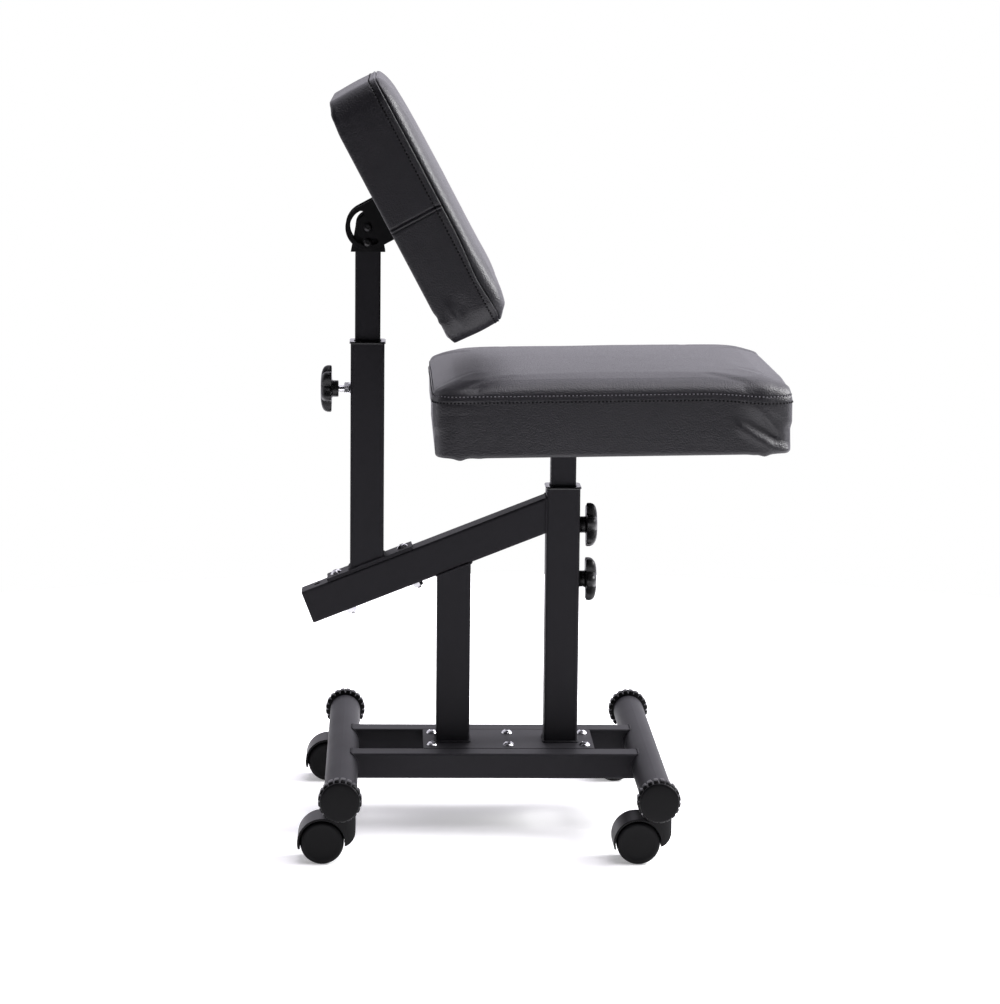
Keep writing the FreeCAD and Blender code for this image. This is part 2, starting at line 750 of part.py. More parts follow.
def chest_board():
    """The plywood board inside the chest cushion."""
    board = rounded_prism(pad_length - 2 * board_margin, pad_width - 2 * board_margin, board_thick,
                          18.0, pad_back)
    for x, y in pad_screw_places():
        board = board.cut(rod(m6_r + fit, V(x, y, pad_back - 1), Z_AXIS, 9.2))
    return on_pad(board)


def pad_screw(x, y):
    """A screw through the bracket's plate into the board."""
    screw = turned(button_bolt(m6_r, cheek_thick + 8.0, m6_head_r, 3.3, 4.0), X_AXIS, 180)
    return on_pad(moved(screw, x, y, pad_back - cheek_thick))


def chest_cushion():
    """The chest pad's foam and cover."""
    side_height = 64.5
    block = cushion(pad_length, pad_width, side_height, pad_thick, seat_corner, 12.0)
    return on_pad(moved(block, 0, 0, pad_back))


# ---- write every sub-part -----------------------------------------------------------------------

save("cross_tube_left", cross_tube(tube_x["left"]))
save("cross_tube_right", cross_tube(tube_x["right"]))
save("rail_near", rail(-rail_y))
save("rail_far", rail(rail_y))
save("bolt_ledges", bolt_ledge(-1), bolt_ledge(1))
save("post_plate", post_plate())

plate_nut_height = 6.5
ledge_bottom = plate_top - plate_thick - ledge_thick
bolts = []
nuts = []
for px, py in plate_bolt_places():
    grip = plate_thick + ledge_thick + plate_nut_height + 2.0
    bolts.append(moved(button_bolt(m8_r, grip, m8_head_r, 4.4, 5.0), px, py, plate_top))
    nuts.append(moved(turned(nut(m8_nut_flats, plate_nut_height, m8_r + fit), X_AXIS, 180),
                      px, py, ledge_bottom))
save("plate_bolts", *bolts)
save("plate_nuts", *nuts)

save("end_caps", *[end_cap(x, side) for x in tube_x.values() for side in (-1, 1)])
caster_places = {"near_left": (tube_x["left"], -caster_y), "near_right": (tube_x["right"], -caster_y),
                 "far_left": (tube_x["left"], caster_y), "far_right": (tube_x["right"], caster_y)}
save("stem_bushes", *[stem_bush(x, y) for x, y in caster_places.values()])
save("caster_stems", *[caster_stem(x, y) for x, y in caster_places.values()])

hood_shape = caster_hood()
axle_shape = caster_axle()
wheel_shapes = {"a": caster_wheel(-1), "b": caster_wheel(1)}
for place, (cx, cy) in caster_places.items():
    save("hood_" + place, moved(hood_shape, cx, cy))
    save("axle_" + place, moved(axle_shape, cx, cy))
    for letter, wheel_shape in wheel_shapes.items():
        save("wheel_" + place + "_" + letter, moved(wheel_shape, cx, cy))

save("main_post", main_post())
save("short_post", short_post())
save("beam", beam())
save("beam_end_plate", beam_end_plate())
save("foot_plate", foot_plate())
foot_grip = post_side + foot_thick + 9.0
save("foot_bolts", *[on_beam(moved(button_bolt(m8_r, foot_grip, m8_head_r, 4.4, 5.0), x, 0, foot_thick))
                     for x in foot_bolt_xs()])
save("foot_nuts", *[on_beam(moved(turned(nut(m8_nut_flats, 6.5, m8_r + fit), X_AXIS, 180),
                                  x, 0, -post_side)) for x in foot_bolt_xs()])
save("chest_outer_tube", chest_outer_tube())
save("chest_collar", guide_collar(chest_post_x, chest_post_top))
save("seat_collar", guide_collar(main_post_x, main_post_top))
save("chest_knob_nut", chest_knob_nut())
save("seat_knob_inserts", *[seat_knob_insert(z) for z in seat_knob_z])

tip_gap = 0.4
seat_stud_reach = half_post + 0.1 - inner_side / 2 - tip_gap
chest_stud_reach = half_post + 7.5 + chest_knob_gap - inner_side / 2 - tip_gap
for name, knob_z, spin in (("upper", seat_knob_z[0], 0), ("lower", seat_knob_z[1], 30)):
    save("seat_knob_" + name, seat_knob_place(turned(knob(), Z_AXIS, spin), knob_z))
    save("seat_stud_" + name, seat_knob_place(stud(seat_stud_reach), knob_z))
save("chest_knob", chest_knob_place(turned(knob(), Z_AXIS, 15)))
save("chest_stud", chest_knob_place(stud(chest_stud_reach)))

save("seat_post", seat_post())
save("seat_plate", seat_plate())
save("seat_screws", *[seat_screw(x, y) for x, y in seat_screw_places()])
save("seat_board", seat_board())
save("seat_cushion", seat_cushion())

save("chest_inner_tube", chest_inner_tube())
save("saddle", saddle())
save("tilt_bushes", *[tilt_bush(z, side) for z in (pivot_z, lock_z) for side in (-1, 1)])
save("tilt_bolts", tilt_bolt(pivot_z), tilt_bolt(lock_z))
save("tilt_nuts", tilt_nut(pivot_z), tilt_nut(lock_z))
save("tilt_bracket", tilt_bracket())
save("pad_screws", *[pad_screw(x, y) for x, y in pad_screw_places()])
save("chest_board", chest_board())
save("chest_cushion", chest_cushion())
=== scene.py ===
import json
from math import copysign, cos, hypot, pi, radians, sin, sqrt, tan

import bmesh
import bpy
import numpy as np
from mathutils import Matrix, Vector, noise


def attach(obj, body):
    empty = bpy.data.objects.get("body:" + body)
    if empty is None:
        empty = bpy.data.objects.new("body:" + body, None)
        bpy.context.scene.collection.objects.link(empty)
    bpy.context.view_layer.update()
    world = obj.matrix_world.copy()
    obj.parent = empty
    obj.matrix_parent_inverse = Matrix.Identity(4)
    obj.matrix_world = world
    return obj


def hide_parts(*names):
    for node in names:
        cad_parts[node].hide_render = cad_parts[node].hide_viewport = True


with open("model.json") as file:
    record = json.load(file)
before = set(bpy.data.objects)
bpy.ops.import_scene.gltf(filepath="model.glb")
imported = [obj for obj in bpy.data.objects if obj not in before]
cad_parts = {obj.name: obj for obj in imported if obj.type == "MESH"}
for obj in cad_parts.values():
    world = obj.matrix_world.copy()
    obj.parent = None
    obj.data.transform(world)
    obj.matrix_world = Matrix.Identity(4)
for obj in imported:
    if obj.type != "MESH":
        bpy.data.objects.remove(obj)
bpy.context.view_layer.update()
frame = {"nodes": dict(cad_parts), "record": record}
scene = bpy.context.scene
MM = 0.001

# ---- camera ----

CAMERA_AT = Vector((-0.18006, -3.89273, 0.98152))
CAMERA_YAW = 0.03524        # turned towards +X
CAMERA_PITCH = 0.15194      # looking down
CAMERA_ROLL = -0.01002
CAMERA_LENS = 118.8         # mm
CAMERA_SENSOR = 36.0        # mm across


def make_camera():
    forward = Vector((sin(CAMERA_YAW) * cos(CAMERA_PITCH),
                      cos(CAMERA_YAW) * cos(CAMERA_PITCH), -sin(CAMERA_PITCH)))
    level = Vector((cos(CAMERA_YAW), -sin(CAMERA_YAW), 0))
    down = forward.cross(level)
    right = cos(CAMERA_ROLL) * level + sin(CAMERA_ROLL) * down
    under = -sin(CAMERA_ROLL) * level + cos(CAMERA_ROLL) * down
    data = bpy.data.cameras.new("camera")
    data.sensor_fit = "HORIZONTAL"
    data.sensor_width = CAMERA_SENSOR
    data.lens = CAMERA_LENS
    data.clip_start = 0.1
    data.clip_end = 100.0
    camera = bpy.data.objects.new("camera", data)
    turn = Matrix((right, -under, -forward)).transposed()
    camera.matrix_world = Matrix.Translation(CAMERA_AT) @ turn.to_4x4()
    scene.collection.objects.link(camera)
    scene.camera = camera


# ---- light ----

SKY_COLOUR = (0.93, 0.90, 1.0, 1)
# axis, where the change begins and ends, strength before and after it
SKY_RAMPS = (("Y", -0.5, 0.7, 0.05, 1.45), ("X", -1.0, 0.4, 0.5, 1.05))
SUN_POWER = 3.2
SUN_COLOUR = (0.97, 0.94, 1.0)
SUN_SPREAD = 1.1            # radians
SUN_TURN = (2, 22, 0)       # degrees
# name, place, target, size, power
AREA_LIGHTS = (("side_right", (3.0, 0.5, 2.3), (0, 0, 0.6), 1.8, 205),
               ("side_left", (-3.0, 0.9, 1.3), (0, 0, 0.5), 1.6, 6),
               ("front_right", (1.7, -1.5, 0.9), (0.25, -0.2, 0.5), 0.9, 4))
FLOOR_RADIUS = 1.7
FLOOR_SIDES = 64
FLOOR_WHITE = 0.93
FLOOR_GLOW = 0.28


def area_light(name, at, target, size, power):
    data = bpy.data.lights.new(name, "AREA")
    data.shape = "RECTANGLE"
    data.size = data.size_y = size
    data.energy = power
    lamp = bpy.data.objects.new(name, data)
    aim = Vector(target) - Vector(at)
    turn = aim.to_track_quat("-Z", "Y").to_matrix().to_4x4()
    lamp.matrix_world = Matrix.Translation(at) @ turn
    scene.collection.objects.link(lamp)


def make_sky():
    """White to the camera; for the surfaces bright behind the chair and dark on its near side."""
    world = bpy.data.worlds.new("studio")
    world.use_nodes = True
    tree = world.node_tree
    seen = tree.nodes["Background"]
    put(seen, {"Color": (1, 1, 1, 1), "Strength": 1.0})
    split = add(tree, "ShaderNodeSeparateXYZ",
                {0: add(tree, "ShaderNodeTexCoord").outputs["Generated"]})
    product = add(tree, "ShaderNodeMath", operation="MULTIPLY")
    for number, (axis, low, high, before, after) in enumerate(SKY_RAMPS):
        ramp = add(tree, "ShaderNodeMapRange",
                   {"Value": split.outputs[axis], "From Min": low, "From Max": high,
                    "To Min": before, "To Max": after}, interpolation_type="SMOOTHSTEP")
        put(product, {number: ramp.outputs["Result"]})
    lit = add(tree, "ShaderNodeBackground", {"Color": SKY_COLOUR, "Strength": product.outputs[0]})
    camera_ray = add(tree, "ShaderNodeLightPath").outputs["Is Camera Ray"]
    mix = add(tree, "ShaderNodeMixShader",
              {"Fac": camera_ray, 1: lit.outputs[0], 2: seen.outputs[0]})
    put(tree.nodes["World Output"], {"Surface": mix.outputs[0]})
    scene.world = world


def make_sun():
    sun = bpy.data.lights.new("key_top", "SUN")
    sun.energy = SUN_POWER
    sun.color = SUN_COLOUR
    sun.angle = SUN_SPREAD
    lamp = bpy.data.objects.new("key_top", sun)
    lamp.rotation_euler = [radians(turn) for turn in SUN_TURN]
    scene.collection.objects.link(lamp)


def make_floor():
    """A pale round floor that glows a little, outside the object."""
    data = bpy.data.meshes.new("floor")
    angles = [i * 2 * pi / FLOOR_SIDES for i in range(FLOOR_SIDES)]
    ring = [(FLOOR_RADIUS * cos(a), FLOOR_RADIUS * sin(a), 0) for a in angles]
    data.from_pydata(ring, [], [list(range(FLOOR_SIDES))])
    floor = bpy.data.objects.new("floor", data)
    scene.collection.objects.link(floor)
    mat, _, bsdf = new_material("floor_white", (FLOOR_WHITE,) * 3, 0.9)
    put(bsdf, {"Specular IOR Level": 0.1, "Emission Color": (1, 1, 1, 1),
               "Emission Strength": FLOOR_GLOW})
    data.materials.append(mat)


def make_light():
    make_sky()
    make_sun()
    for lamp in AREA_LIGHTS:
        area_light(*lamp)
    make_floor()
    scene.view_settings.view_transform = "Standard"


# ---- materials ----

def put(node, values):
    """Set a node's inputs, by name or number, to values or to other nodes' outputs."""
    for key, value in values.items():
        if isinstance(value, bpy.types.NodeSocket):
            node.id_data.links.new(value, node.inputs[key])
        else:
            node.inputs[key].default_value = value


def add(tree, kind, values=None, **settings):
    """A new node with its inputs and its own settings."""
    made = tree.nodes.new(kind)
    for key, value in settings.items():
        setattr(made, key, value)
    put(made, values or {})
    return made


def new_material(name, colour, roughness, metallic=0.0):
    mat = bpy.data.materials.new(name)
    mat.use_nodes = True
    tree = mat.node_tree
    bsdf = tree.nodes["Principled BSDF"]
    put(bsdf, {"Base Color": (*colour, 1), "Roughness": roughness, "Metallic": metallic})
    return mat, tree, bsdf


def texture_at(tree, kind, scale, coords, **inputs):
    return add(tree, kind, {"Scale": scale, "Vector": coords, **inputs})


def spread(tree, source, low, high):
    """Map a 0-1 value to low-high."""
    made = add(tree, "ShaderNodeMapRange", {"To Min": low, "To Max": high, "Value": source})
    return made.outputs["Result"]


def tint(tree, source, dark, light):
    made = add(tree, "ShaderNodeMix", {"A": (*dark, 1), "B": (*light, 1), "Factor": source},
               data_type="RGBA")
    return made.outputs["Result"]


def add_bump(tree, height, strength, depth, base=None, invert=False):
    """Surface relief from a value, on top of the normals that base gives."""
    values = {"Strength": strength, "Distance": depth, "Height": height}
    if base is not None:
        values["Normal"] = base
    return add(tree, "ShaderNodeBump", values, invert=invert).outputs["Normal"]


def coated(name, dark, light, rough_low, rough_high, grain, grain_depth, edge, specular,
           metallic=0.0):
    """A painted or moulded surface: fine grain, slow changes of colour and gloss, soft edges."""
    mat, tree, bsdf = new_material(name, dark, rough_low, metallic)
    coords = add(tree, "ShaderNodeTexCoord").outputs["Object"]
    slow = texture_at(tree, "ShaderNodeTexNoise", 14.0, coords, Detail=4.0).outputs["Fac"]
    fine = texture_at(tree, "ShaderNodeTexNoise", grain, coords, Detail=2.0).outputs["Fac"]
    rounded = None
    if edge:
        rounded = add(tree, "ShaderNodeBevel", {"Radius": edge}, samples=4).outputs["Normal"]
    put(bsdf, {"Specular IOR Level": specular, "Base Color": tint(tree, slow, dark, light),
               "Roughness": spread(tree, slow, rough_low, rough_high),
               "Normal": add_bump(tree, fine, 0.5, grain_depth, rounded)})
    return mat


LEATHER_DARK, LEATHER_LIGHT = (0.0090, 0.0086, 0.0110), (0.0130, 0.0124, 0.0156)
LEATHER_ROUGH = (0.36, 0.52)
PEBBLE_SCALE, PEBBLE_WARP_SCALE, PEBBLE_WARP = 620.0, 420.0, 0.0012
PEBBLE_DEPTH, LEATHER_WAVE_DEPTH = 0.00045, 0.0012


def leather_material():
    """Pebbled synthetic leather: small rounded cells over a slower unevenness."""
    mat, tree, bsdf = new_material("charcoal_leather", (0.04, 0.04, 0.047), 0.42)
    coords = add(tree, "ShaderNodeTexCoord").outputs["Object"]
    warp = texture_at(tree, "ShaderNodeTexNoise", PEBBLE_WARP_SCALE, coords, Detail=1.0)
    shift = add(tree, "ShaderNodeVectorMath",
                {0: warp.outputs["Color"], 1: (PEBBLE_WARP,) * 3, 2: coords},
                operation="MULTIPLY_ADD")
    cells = texture_at(tree, "ShaderNodeTexVoronoi", PEBBLE_SCALE, shift.outputs["Vector"])
    cells.feature = "SMOOTH_F1"
    put(cells, {"Smoothness": 0.6})
    pebbles = cells.outputs["Distance"]
    slow = texture_at(tree, "ShaderNodeTexNoise", 22.0, coords, Detail=5.0).outputs["Fac"]
    waves = add_bump(tree, slow, 0.25, LEATHER_WAVE_DEPTH)
    put(bsdf, {"Specular IOR Level": 0.44,
               "Base Color": tint(tree, slow, LEATHER_DARK, LEATHER_LIGHT),
               "Roughness": spread(tree, pebbles, *LEATHER_ROUGH),
               "Normal": add_bump(tree, pebbles, 0.9, PEBBLE_DEPTH, waves, invert=True)})
    return mat


def thread_material(name, colour):
    """Twisted sewing thread; made nearly black, it also serves as painted shade in the needle
    holes.
    """
    mat, tree, bsdf = new_material(name, colour, 0.6)
    coords = add(tree, "ShaderNodeTexCoord").outputs["Object"]
    twist = texture_at(tree, "ShaderNodeTexNoise", 1800.0, coords, Detail=1.0).outputs["Fac"]
    light = tuple(min(1.0, c * 1.5) for c in colour)
    put(bsdf, {"Specular IOR Level": 0.12, "Base Color": tint(tree, twist, colour, light)})
    return mat


def fabric_material(name, dark, light):
    """Matt non-woven cloth under the cushions."""
    mat, tree, bsdf = new_material(name, dark, 0.95)
    coords = add(tree, "ShaderNodeTexCoord").outputs["Object"]
    fibres = texture_at(tree, "ShaderNodeTexNoise", 900.0, coords, Detail=6.0).outputs["Fac"]
    dots = texture_at(tree, "ShaderNodeTexVoronoi", 500.0, coords).outputs["Distance"]
    put(bsdf, {"Base Color": tint(tree, fibres, dark, light),
               "Normal": add_bump(tree, dots, 0.6, 0.0003)})
    return mat


# ---- mesh helpers ----

def mesh_object(name, points, faces, materials, smooth=True):
    data = bpy.data.meshes.new(name)
    data.from_pydata([tuple(p) for p in points], [], faces)
    data.update()
    made = bpy.data.objects.new(name, data)
    scene.collection.objects.link(made)
    for mat in materials:
        data.materials.append(mat)
    if smooth:
        data.shade_smooth()
    return made


def band(count, low, high):
    """Faces between two closed rings of points, which start at the given vertex numbers."""
    return [(low + c, low + (c + 1) % count, high + (c + 1) % count, high + c)
            for c in range(count)]


def turn_outward(piece, sharp):
    """Turn a closed form's faces outward, and keep edges sharp beyond an angle in degrees."""
    shape = bmesh.new()
    shape.from_mesh(piece.data)
    bmesh.ops.recalc_face_normals(shape, faces=shape.faces)
    shape.to_mesh(piece.data)
    shape.free()
    piece.data.set_sharp_from_angle(angle=radians(sharp))


def outline(a, b, r, k):
    """8k points round a rounded rectangle of half sizes a, b and corner radius r, from the middle
    of one corner round to itself."""
    points = []
    side_steps = 2 * k
    for side in range(4):
        half, other = (a, b) if side % 2 == 0 else (b, a)
        straight = half - r
        reach = straight + r * pi / 4
        turn = side * pi / 2
        c, d = round(cos(turn)), round(sin(turn))
        for i in range(side_steps):
            s = -reach + 2 * reach * i / side_steps
            along = min(abs(s), straight)
            angle = max(0.0, abs(s) - straight) / r if r > 1e-9 else 0.0
            x = copysign(along + r * sin(angle), s)
            y = -(other - r + r * cos(angle))
            points.append((x * c - y * d, x * d + y * c))
    return np.array(points)


def ring_column(i, j, k):
    """Place in a ring of 8k points of the grid point (i, j), where max(|i|, |j|) = k."""
    if j == -k and i < k:
        return i + k
    if i == k and j < k:
        return 2 * k + (j + k)
    if j == k and i > -k:
        return 4 * k + (k - i)
    return (6 * k + (k - j)) % (8 * k)


def cells(k):
    """Every (i, j) of a square grid, from -k to k each way."""
    return [(i, j) for i in range(-k, k + 1) for j in range(-k, k + 1)]


def run_along(steps):
    """How far along a line each of its points lies, from the lengths of its steps."""
    return np.concatenate([[0], np.cumsum(steps)])


def catmull(values, position, closed):
    """Smoothly read rows of values at fractional positions along axis 0."""
    count = len(values)
    base = np.floor(position).astype(int)
    t = (position - base)[(...,) + (None,) * (values.ndim - 1)]

    def row(offset):
        index = base + offset
        index = index % count if closed else np.clip(index, 0, count - 1)
        return values[index]
    p0, p1, p2, p3 = row(-1), row(0), row(1), row(2)
    return 0.5 * (2 * p1 + (p2 - p0) * t + (2 * p0 - 5 * p1 + 4 * p2 - p3) * t ** 2
                  + (3 * p1 - p0 - 3 * p2 + p3) * t ** 3)


TIGHTEN_OVER, TIGHTEN_UNDER = 0.15, -0.8    # change of corner radius with the inset of a ring
MID_HEIGHT = 0.04


class Cushion:
    """A boxed cushion in its own frame: x and y along its sides, z out of its padded face.

    Its skin is a stack of rings, from inside the underside, up the side and over the edge, closed
    by a square grid on top. A ring's place p is a length along the profile, from its foot."""

    def __init__(self, length, width, corner, profile, crown, foot):
        self.half = (length / 2, width / 2)
        self.corner = corner
        self.profile = np.array(profile)        # rows of inset, height
        self.run = run_along(np.hypot(*np.diff(self.profile, axis=0).T))
        self.crown = crown
        height, rows = foot     # where the side begins, and the rows of profile to look in
        self.side_start = float(np.interp(height, self.profile[:rows, 1], self.run[:rows]))

    def at(self, p):
        return tuple(np.interp(p, self.run, column) for column in self.profile.T)

    def place(self, height):
        """The profile position at which the outer side reaches a height."""
        start = int(np.argmax(self.profile[:, 0] <= self.profile[:, 0].min() + 1e-9))
        return float(np.interp(height, self.profile[start:, 1], self.run[start:]))

    def rings(self, places, k):
        """Positions of the side rings: array [ring, column, xyz]."""
        rows = []
        for p in places:
            inset, height = self.at(p)
            a, b = self.half[0] - inset, self.half[1] - inset
            r = self.corner + inset * (TIGHTEN_OVER if height > MID_HEIGHT else TIGHTEN_UNDER)
            flat = outline(a, b, r, k)
            rows.append(np.column_stack([flat, np.full(len(flat), height)]))
        return np.array(rows)

    def top(self, last_ring, k):
        """The padded face inside the last ring: array [i, j, xyz] over the square grid."""
        grid = np.zeros((2 * k + 1, 2 * k + 1, 3))
        far_x, far_y, edge = last_ring[:, 0].max(), last_ring[:, 1].max(), last_ring[0, 2]
        for i, j in cells(k):
            m = max(abs(i), abs(j))
            point = np.array([0, 0])
            if m > 0:
                column = ring_column(i, j, m) * k / m
                low = int(column) % (8 * k)
                part = column - int(column)
                after = (low + 1) % (8 * k)
                point = last_ring[low, :2] * (1 - part) + last_ring[after, :2] * part
                point = point * m / k
            grid[i + k, j + k, :2] = point
            u, v = point[0] / far_x, point[1] / far_y
            grid[i + k, j + k, 2] = edge + self.crown * (1 - u * u) * (1 - v * v)
        return grid


def grid_faces(ring_count, k):
    """Faces of stacked closed rings and the top grid, for points in the order of stack()."""
    columns = 8 * k
    faces = []
    for r in range(ring_count - 1):
        faces += band(columns, r * columns, (r + 1) * columns)
    base = ring_count * columns
    last = (ring_count - 1) * columns
    numbers = {}
    for i, j in cells(k):
        if max(abs(i), abs(j)) == k:
            numbers[i, j] = last + ring_column(i, j, k)
        else:
            numbers[i, j] = base + (i + k - 1) * (2 * k - 1) + (j + k - 1)
    for i in range(-k, k):
        for j in range(-k, k):
            faces.append((numbers[i, j], numbers[i + 1, j],
                          numbers[i + 1, j + 1], numbers[i, j + 1]))
    return faces


def stack(rings, grid):
    """One list of points from the rings and the inside of the top grid."""
    return np.concatenate([rings.reshape(-1, 3), grid[1:-1, 1:-1].reshape(-1, 3)])


def unstack(points, ring_count, k):
    """Rings and top grid back from one list of points."""
    columns = 8 * k
    rings = points[:ring_count * columns].reshape(ring_count, columns, 3)
    grid = np.zeros((2 * k + 1, 2 * k + 1, 3))
    grid[1:-1, 1:-1] = points[ring_count * columns:].reshape(2 * k - 1, 2 * k - 1, 3)
    for i, j in cells(k):
        if max(abs(i), abs(j)) == k:
            grid[i + k, j + k] = rings[-1, ring_column(i, j, k)]
    return rings, grid


SIM_FRAMES = 20
CLOTH = {"quality": 6, "mass": 0.4, "tension_stiffness": 25, "compression_stiffness": 25,
         "shear_stiffness": 12, "bending_stiffness": 4, "air_damping": 3, "use_pressure": True,
         "uniform_pressure_force": 2.0}
LARGEST_MOVE = 0.006    # of a point, in the simulation
SHARE_OF_MOVE = 0.36    # what is kept of it


def inflate(name, points, faces, held):
    """Blow the skin up by cloth simulation and return how far each point moved."""
    piece = mesh_object(name + "_sim", points, faces, [])
    group = piece.vertex_groups.new(name="held")
    for weight in sorted(set(held)):
        group.add([int(i) for i in np.nonzero(held == weight)[0]], float(weight), "REPLACE")
    cloth = piece.modifiers.new("cloth", "CLOTH")
    for key, value in CLOTH.items():
        setattr(cloth.settings, key, value)
    cloth.settings.effector_weights.gravity = 0
    cloth.settings.vertex_group_mass = "held"
    cloth.settings.pin_stiffness = 1.0
    cloth.collision_settings.use_collision = False
    cloth.collision_settings.use_self_collision = False
    cloth.point_cache.frame_start = 1
    cloth.point_cache.frame_end = SIM_FRAMES
    for number in range(1, SIM_FRAMES + 1):
        scene.frame_set(number)
    result = piece.evaluated_get(bpy.context.evaluated_depsgraph_get()).to_mesh()
    after = np.empty(len(points) * 3)
    result.vertices.foreach_get("co", after)
    after = after.reshape(-1, 3)
    scene.frame_set(1)
    bpy.data.objects.remove(piece)
    moved = after - points
    far = np.linalg.norm(moved, axis=1)
    return moved * np.minimum(1.0, LARGEST_MOVE / np.maximum(far, 1e-9))[:, None]


def vertex_normals(points, faces):
    """Normals of a quad mesh at its vertices."""
    quads = np.array(faces)
    a, b, c, d = (points[quads[:, i]] for i in range(4))
    face = np.cross(c - a, d - b)
    normal = np.zeros_like(points)
    for i in range(4):
        np.add.at(normal, quads[:, i], face)
    return normal / np.maximum(np.linalg.norm(normal, axis=1), 1e-12)[:, None]


def bell(x, centre, width):
    return np.exp(-((x - centre) / width) ** 2)


def step(x, low, high):
    t = np.clip((x - low) / (high - low), 0, 1)
    return t * t * (3 - 2 * t)


THREAD_SIDES = 6
THREAD_SHAPE = ((-0.5, 0.25), (-0.36, 0.85), (0.0, 1.0), (0.36, 0.85), (0.5, 0.25))
THREAD_DIP = 1.3        # how far the ends of a stitch sink, in thread radii


def stitch_mesh(name, spots, length, radius, mat):
    """Short rounded threads laid at spots of (position, normal, direction)."""
    points, faces = [], []
    for at, up, along in spots:
        along = along / np.linalg.norm(along)
        side = np.cross(up, along)
        side = side / np.linalg.norm(side)
        up = np.cross(along, side)
        base = len(points)
        for t, swell in THREAD_SHAPE:
            dip = -radius * THREAD_DIP * (2 * t) ** 4
            for q in range(THREAD_SIDES):
                angle = 2 * pi * q / THREAD_SIDES
                points.append(at + along * length * t + side * radius * swell * cos(angle)
                              + up * (radius * swell * sin(angle) + dip))
        last = len(points) - THREAD_SIDES
        for start in range(base, last, THREAD_SIDES):
            faces += band(THREAD_SIDES, start, start + THREAD_SIDES)
        faces.append(tuple(range(base, base + THREAD_SIDES))[::-1])
        faces.append(tuple(range(last, last + THREAD_SIDES)))
    return mesh_object(name, points, faces, [mat])


CREASE_REACH, CREASE_SHARE = 0.040, 0.35


def gather(points, at):
    """Slide points along x towards a line, so that the mesh is finer there."""
    gap = points[..., 0] - at
    near = np.clip(1 - np.abs(gap) / CREASE_REACH, 0, 1)
    points[..., 0] = at + gap * (1 - (1 - CREASE_SHARE) * near ** 2 * (3 - 2 * near))
    return points


COARSE_K, FINE_K = 34, 100              # half the cells across the top grid
COARSE_STEP, FINE_STEP = 0.005, 0.0022  # spacing of the rings
LEAST_STEP, SEAM_CLEAR = 0.00025, 0.0009
SEAM_HELD, SEAM_BAND = 0.85, 0.004      # how firmly the skin is held at a seam, and how near it
AROUND_SEAM = (-3, -2.2, -1.6, -1.1, -0.7, -0.35, 0, 0.35, 0.7, 1.1, 1.6, 2.2, 3)
AROUND_ROW = (-1.2, -0.6, 0, 0.6, 1.2)
PAST_PROFILE = 0.02                     # added to the profile's length for points of the top grid
STITCH_PITCH = 0.0044
STITCH_LIFT = 0.00012
# waves per metre, height, axis of the seed
UNEVEN = ((9, 0.0006, 0), (28, 0.00022, 1))


def blown_up(name, shape, seam):
    """How a coarse skin's rings and top grid move when it is blown up."""
    end = shape.run[-1]
    count = int(round(end / COARSE_STEP)) + 1
    places = np.linspace(0, end, count)
    rings = shape.rings(places, COARSE_K)
    points = stack(rings, shape.top(rings[-1], COARSE_K))
    held = np.zeros(len(points))
    columns = 8 * COARSE_K
    for r, p in enumerate(places):
        if p < shape.side_start:
            held[r * columns:(r + 1) * columns] = 1.0
        elif abs(p - seam) < SEAM_BAND:
            held[r * columns:(r + 1) * columns] = SEAM_HELD
    moved = inflate(name, points, grid_faces(count, COARSE_K), held)
    return unstack(moved * SHARE_OF_MOVE, count, COARSE_K)


def fine_places(end, seam, row):
    """Places of the fine skin's rings, closer together at the seam and the row of stitches."""
    tight = [seam + d * MM for d in AROUND_SEAM] + [row + d * MM for d in AROUND_ROW]
    regular = [p for p in np.linspace(0, end, int(end / FINE_STEP) + 1)
               if all(abs(p - q) > SEAM_CLEAR for q in tight)]
    places = sorted(set(regular + tight))
    kept = places[:1]
    for p in places[1:]:
        if p - kept[-1] > LEAST_STEP:
            kept.append(p)
    return np.array(kept)


def fine_skin(shape, places, moves):
    """Points of the fine skin, moved as the coarse one is."""
    rings = shape.rings(places, FINE_K)
    grid = shape.top(rings[-1], FINE_K)
    ring_at = places / shape.run[-1] * (len(moves[0]) - 1)
    column_at = np.arange(8 * FINE_K) * COARSE_K / FINE_K
    move = catmull(moves[0], ring_at, False)
    rings = rings + catmull(move.transpose(1, 0, 2), column_at, True).transpose(1, 0, 2)
    cell_at = np.arange(2 * FINE_K + 1) * COARSE_K / FINE_K
    move = catmull(moves[1], cell_at, False)
    grid = grid + catmull(move.transpose(1, 0, 2), cell_at, False).transpose(1, 0, 2)
    return stack(rings, grid)


def unevenness(points, seed):
    total = np.zeros(len(points))
    for waves, height, axis in UNEVEN:
        shift = Vector((0, 0, 0))
        shift[axis] = seed
        total += np.array([noise.noise(Vector(q) * waves + shift) * height for q in points])
    return total


def stitch_spots(line, ups, phase):
    """Evenly spaced spots along a closed line on the skin, for stitch_mesh()."""
    ahead = np.roll(line, -1, axis=0) - line
    steps = np.linalg.norm(ahead, axis=1)
    total = steps.sum()
    count = int(round(total / STITCH_PITCH))
    run = run_along(steps)[:-1]
    spots = []
    for n in range(count):
        at = (n + 0.25 + phase) * total / count
        c = int(np.searchsorted(run, at)) - 1
        d = (c + 1) % len(line)
        t = (at - run[c]) / steps[c]
        up = ups[c] * (1 - t) + ups[d] * t
        spots.append((line[c] * (1 - t) + line[d] * t + up * STITCH_LIFT, up, ahead[c]))
    return spots


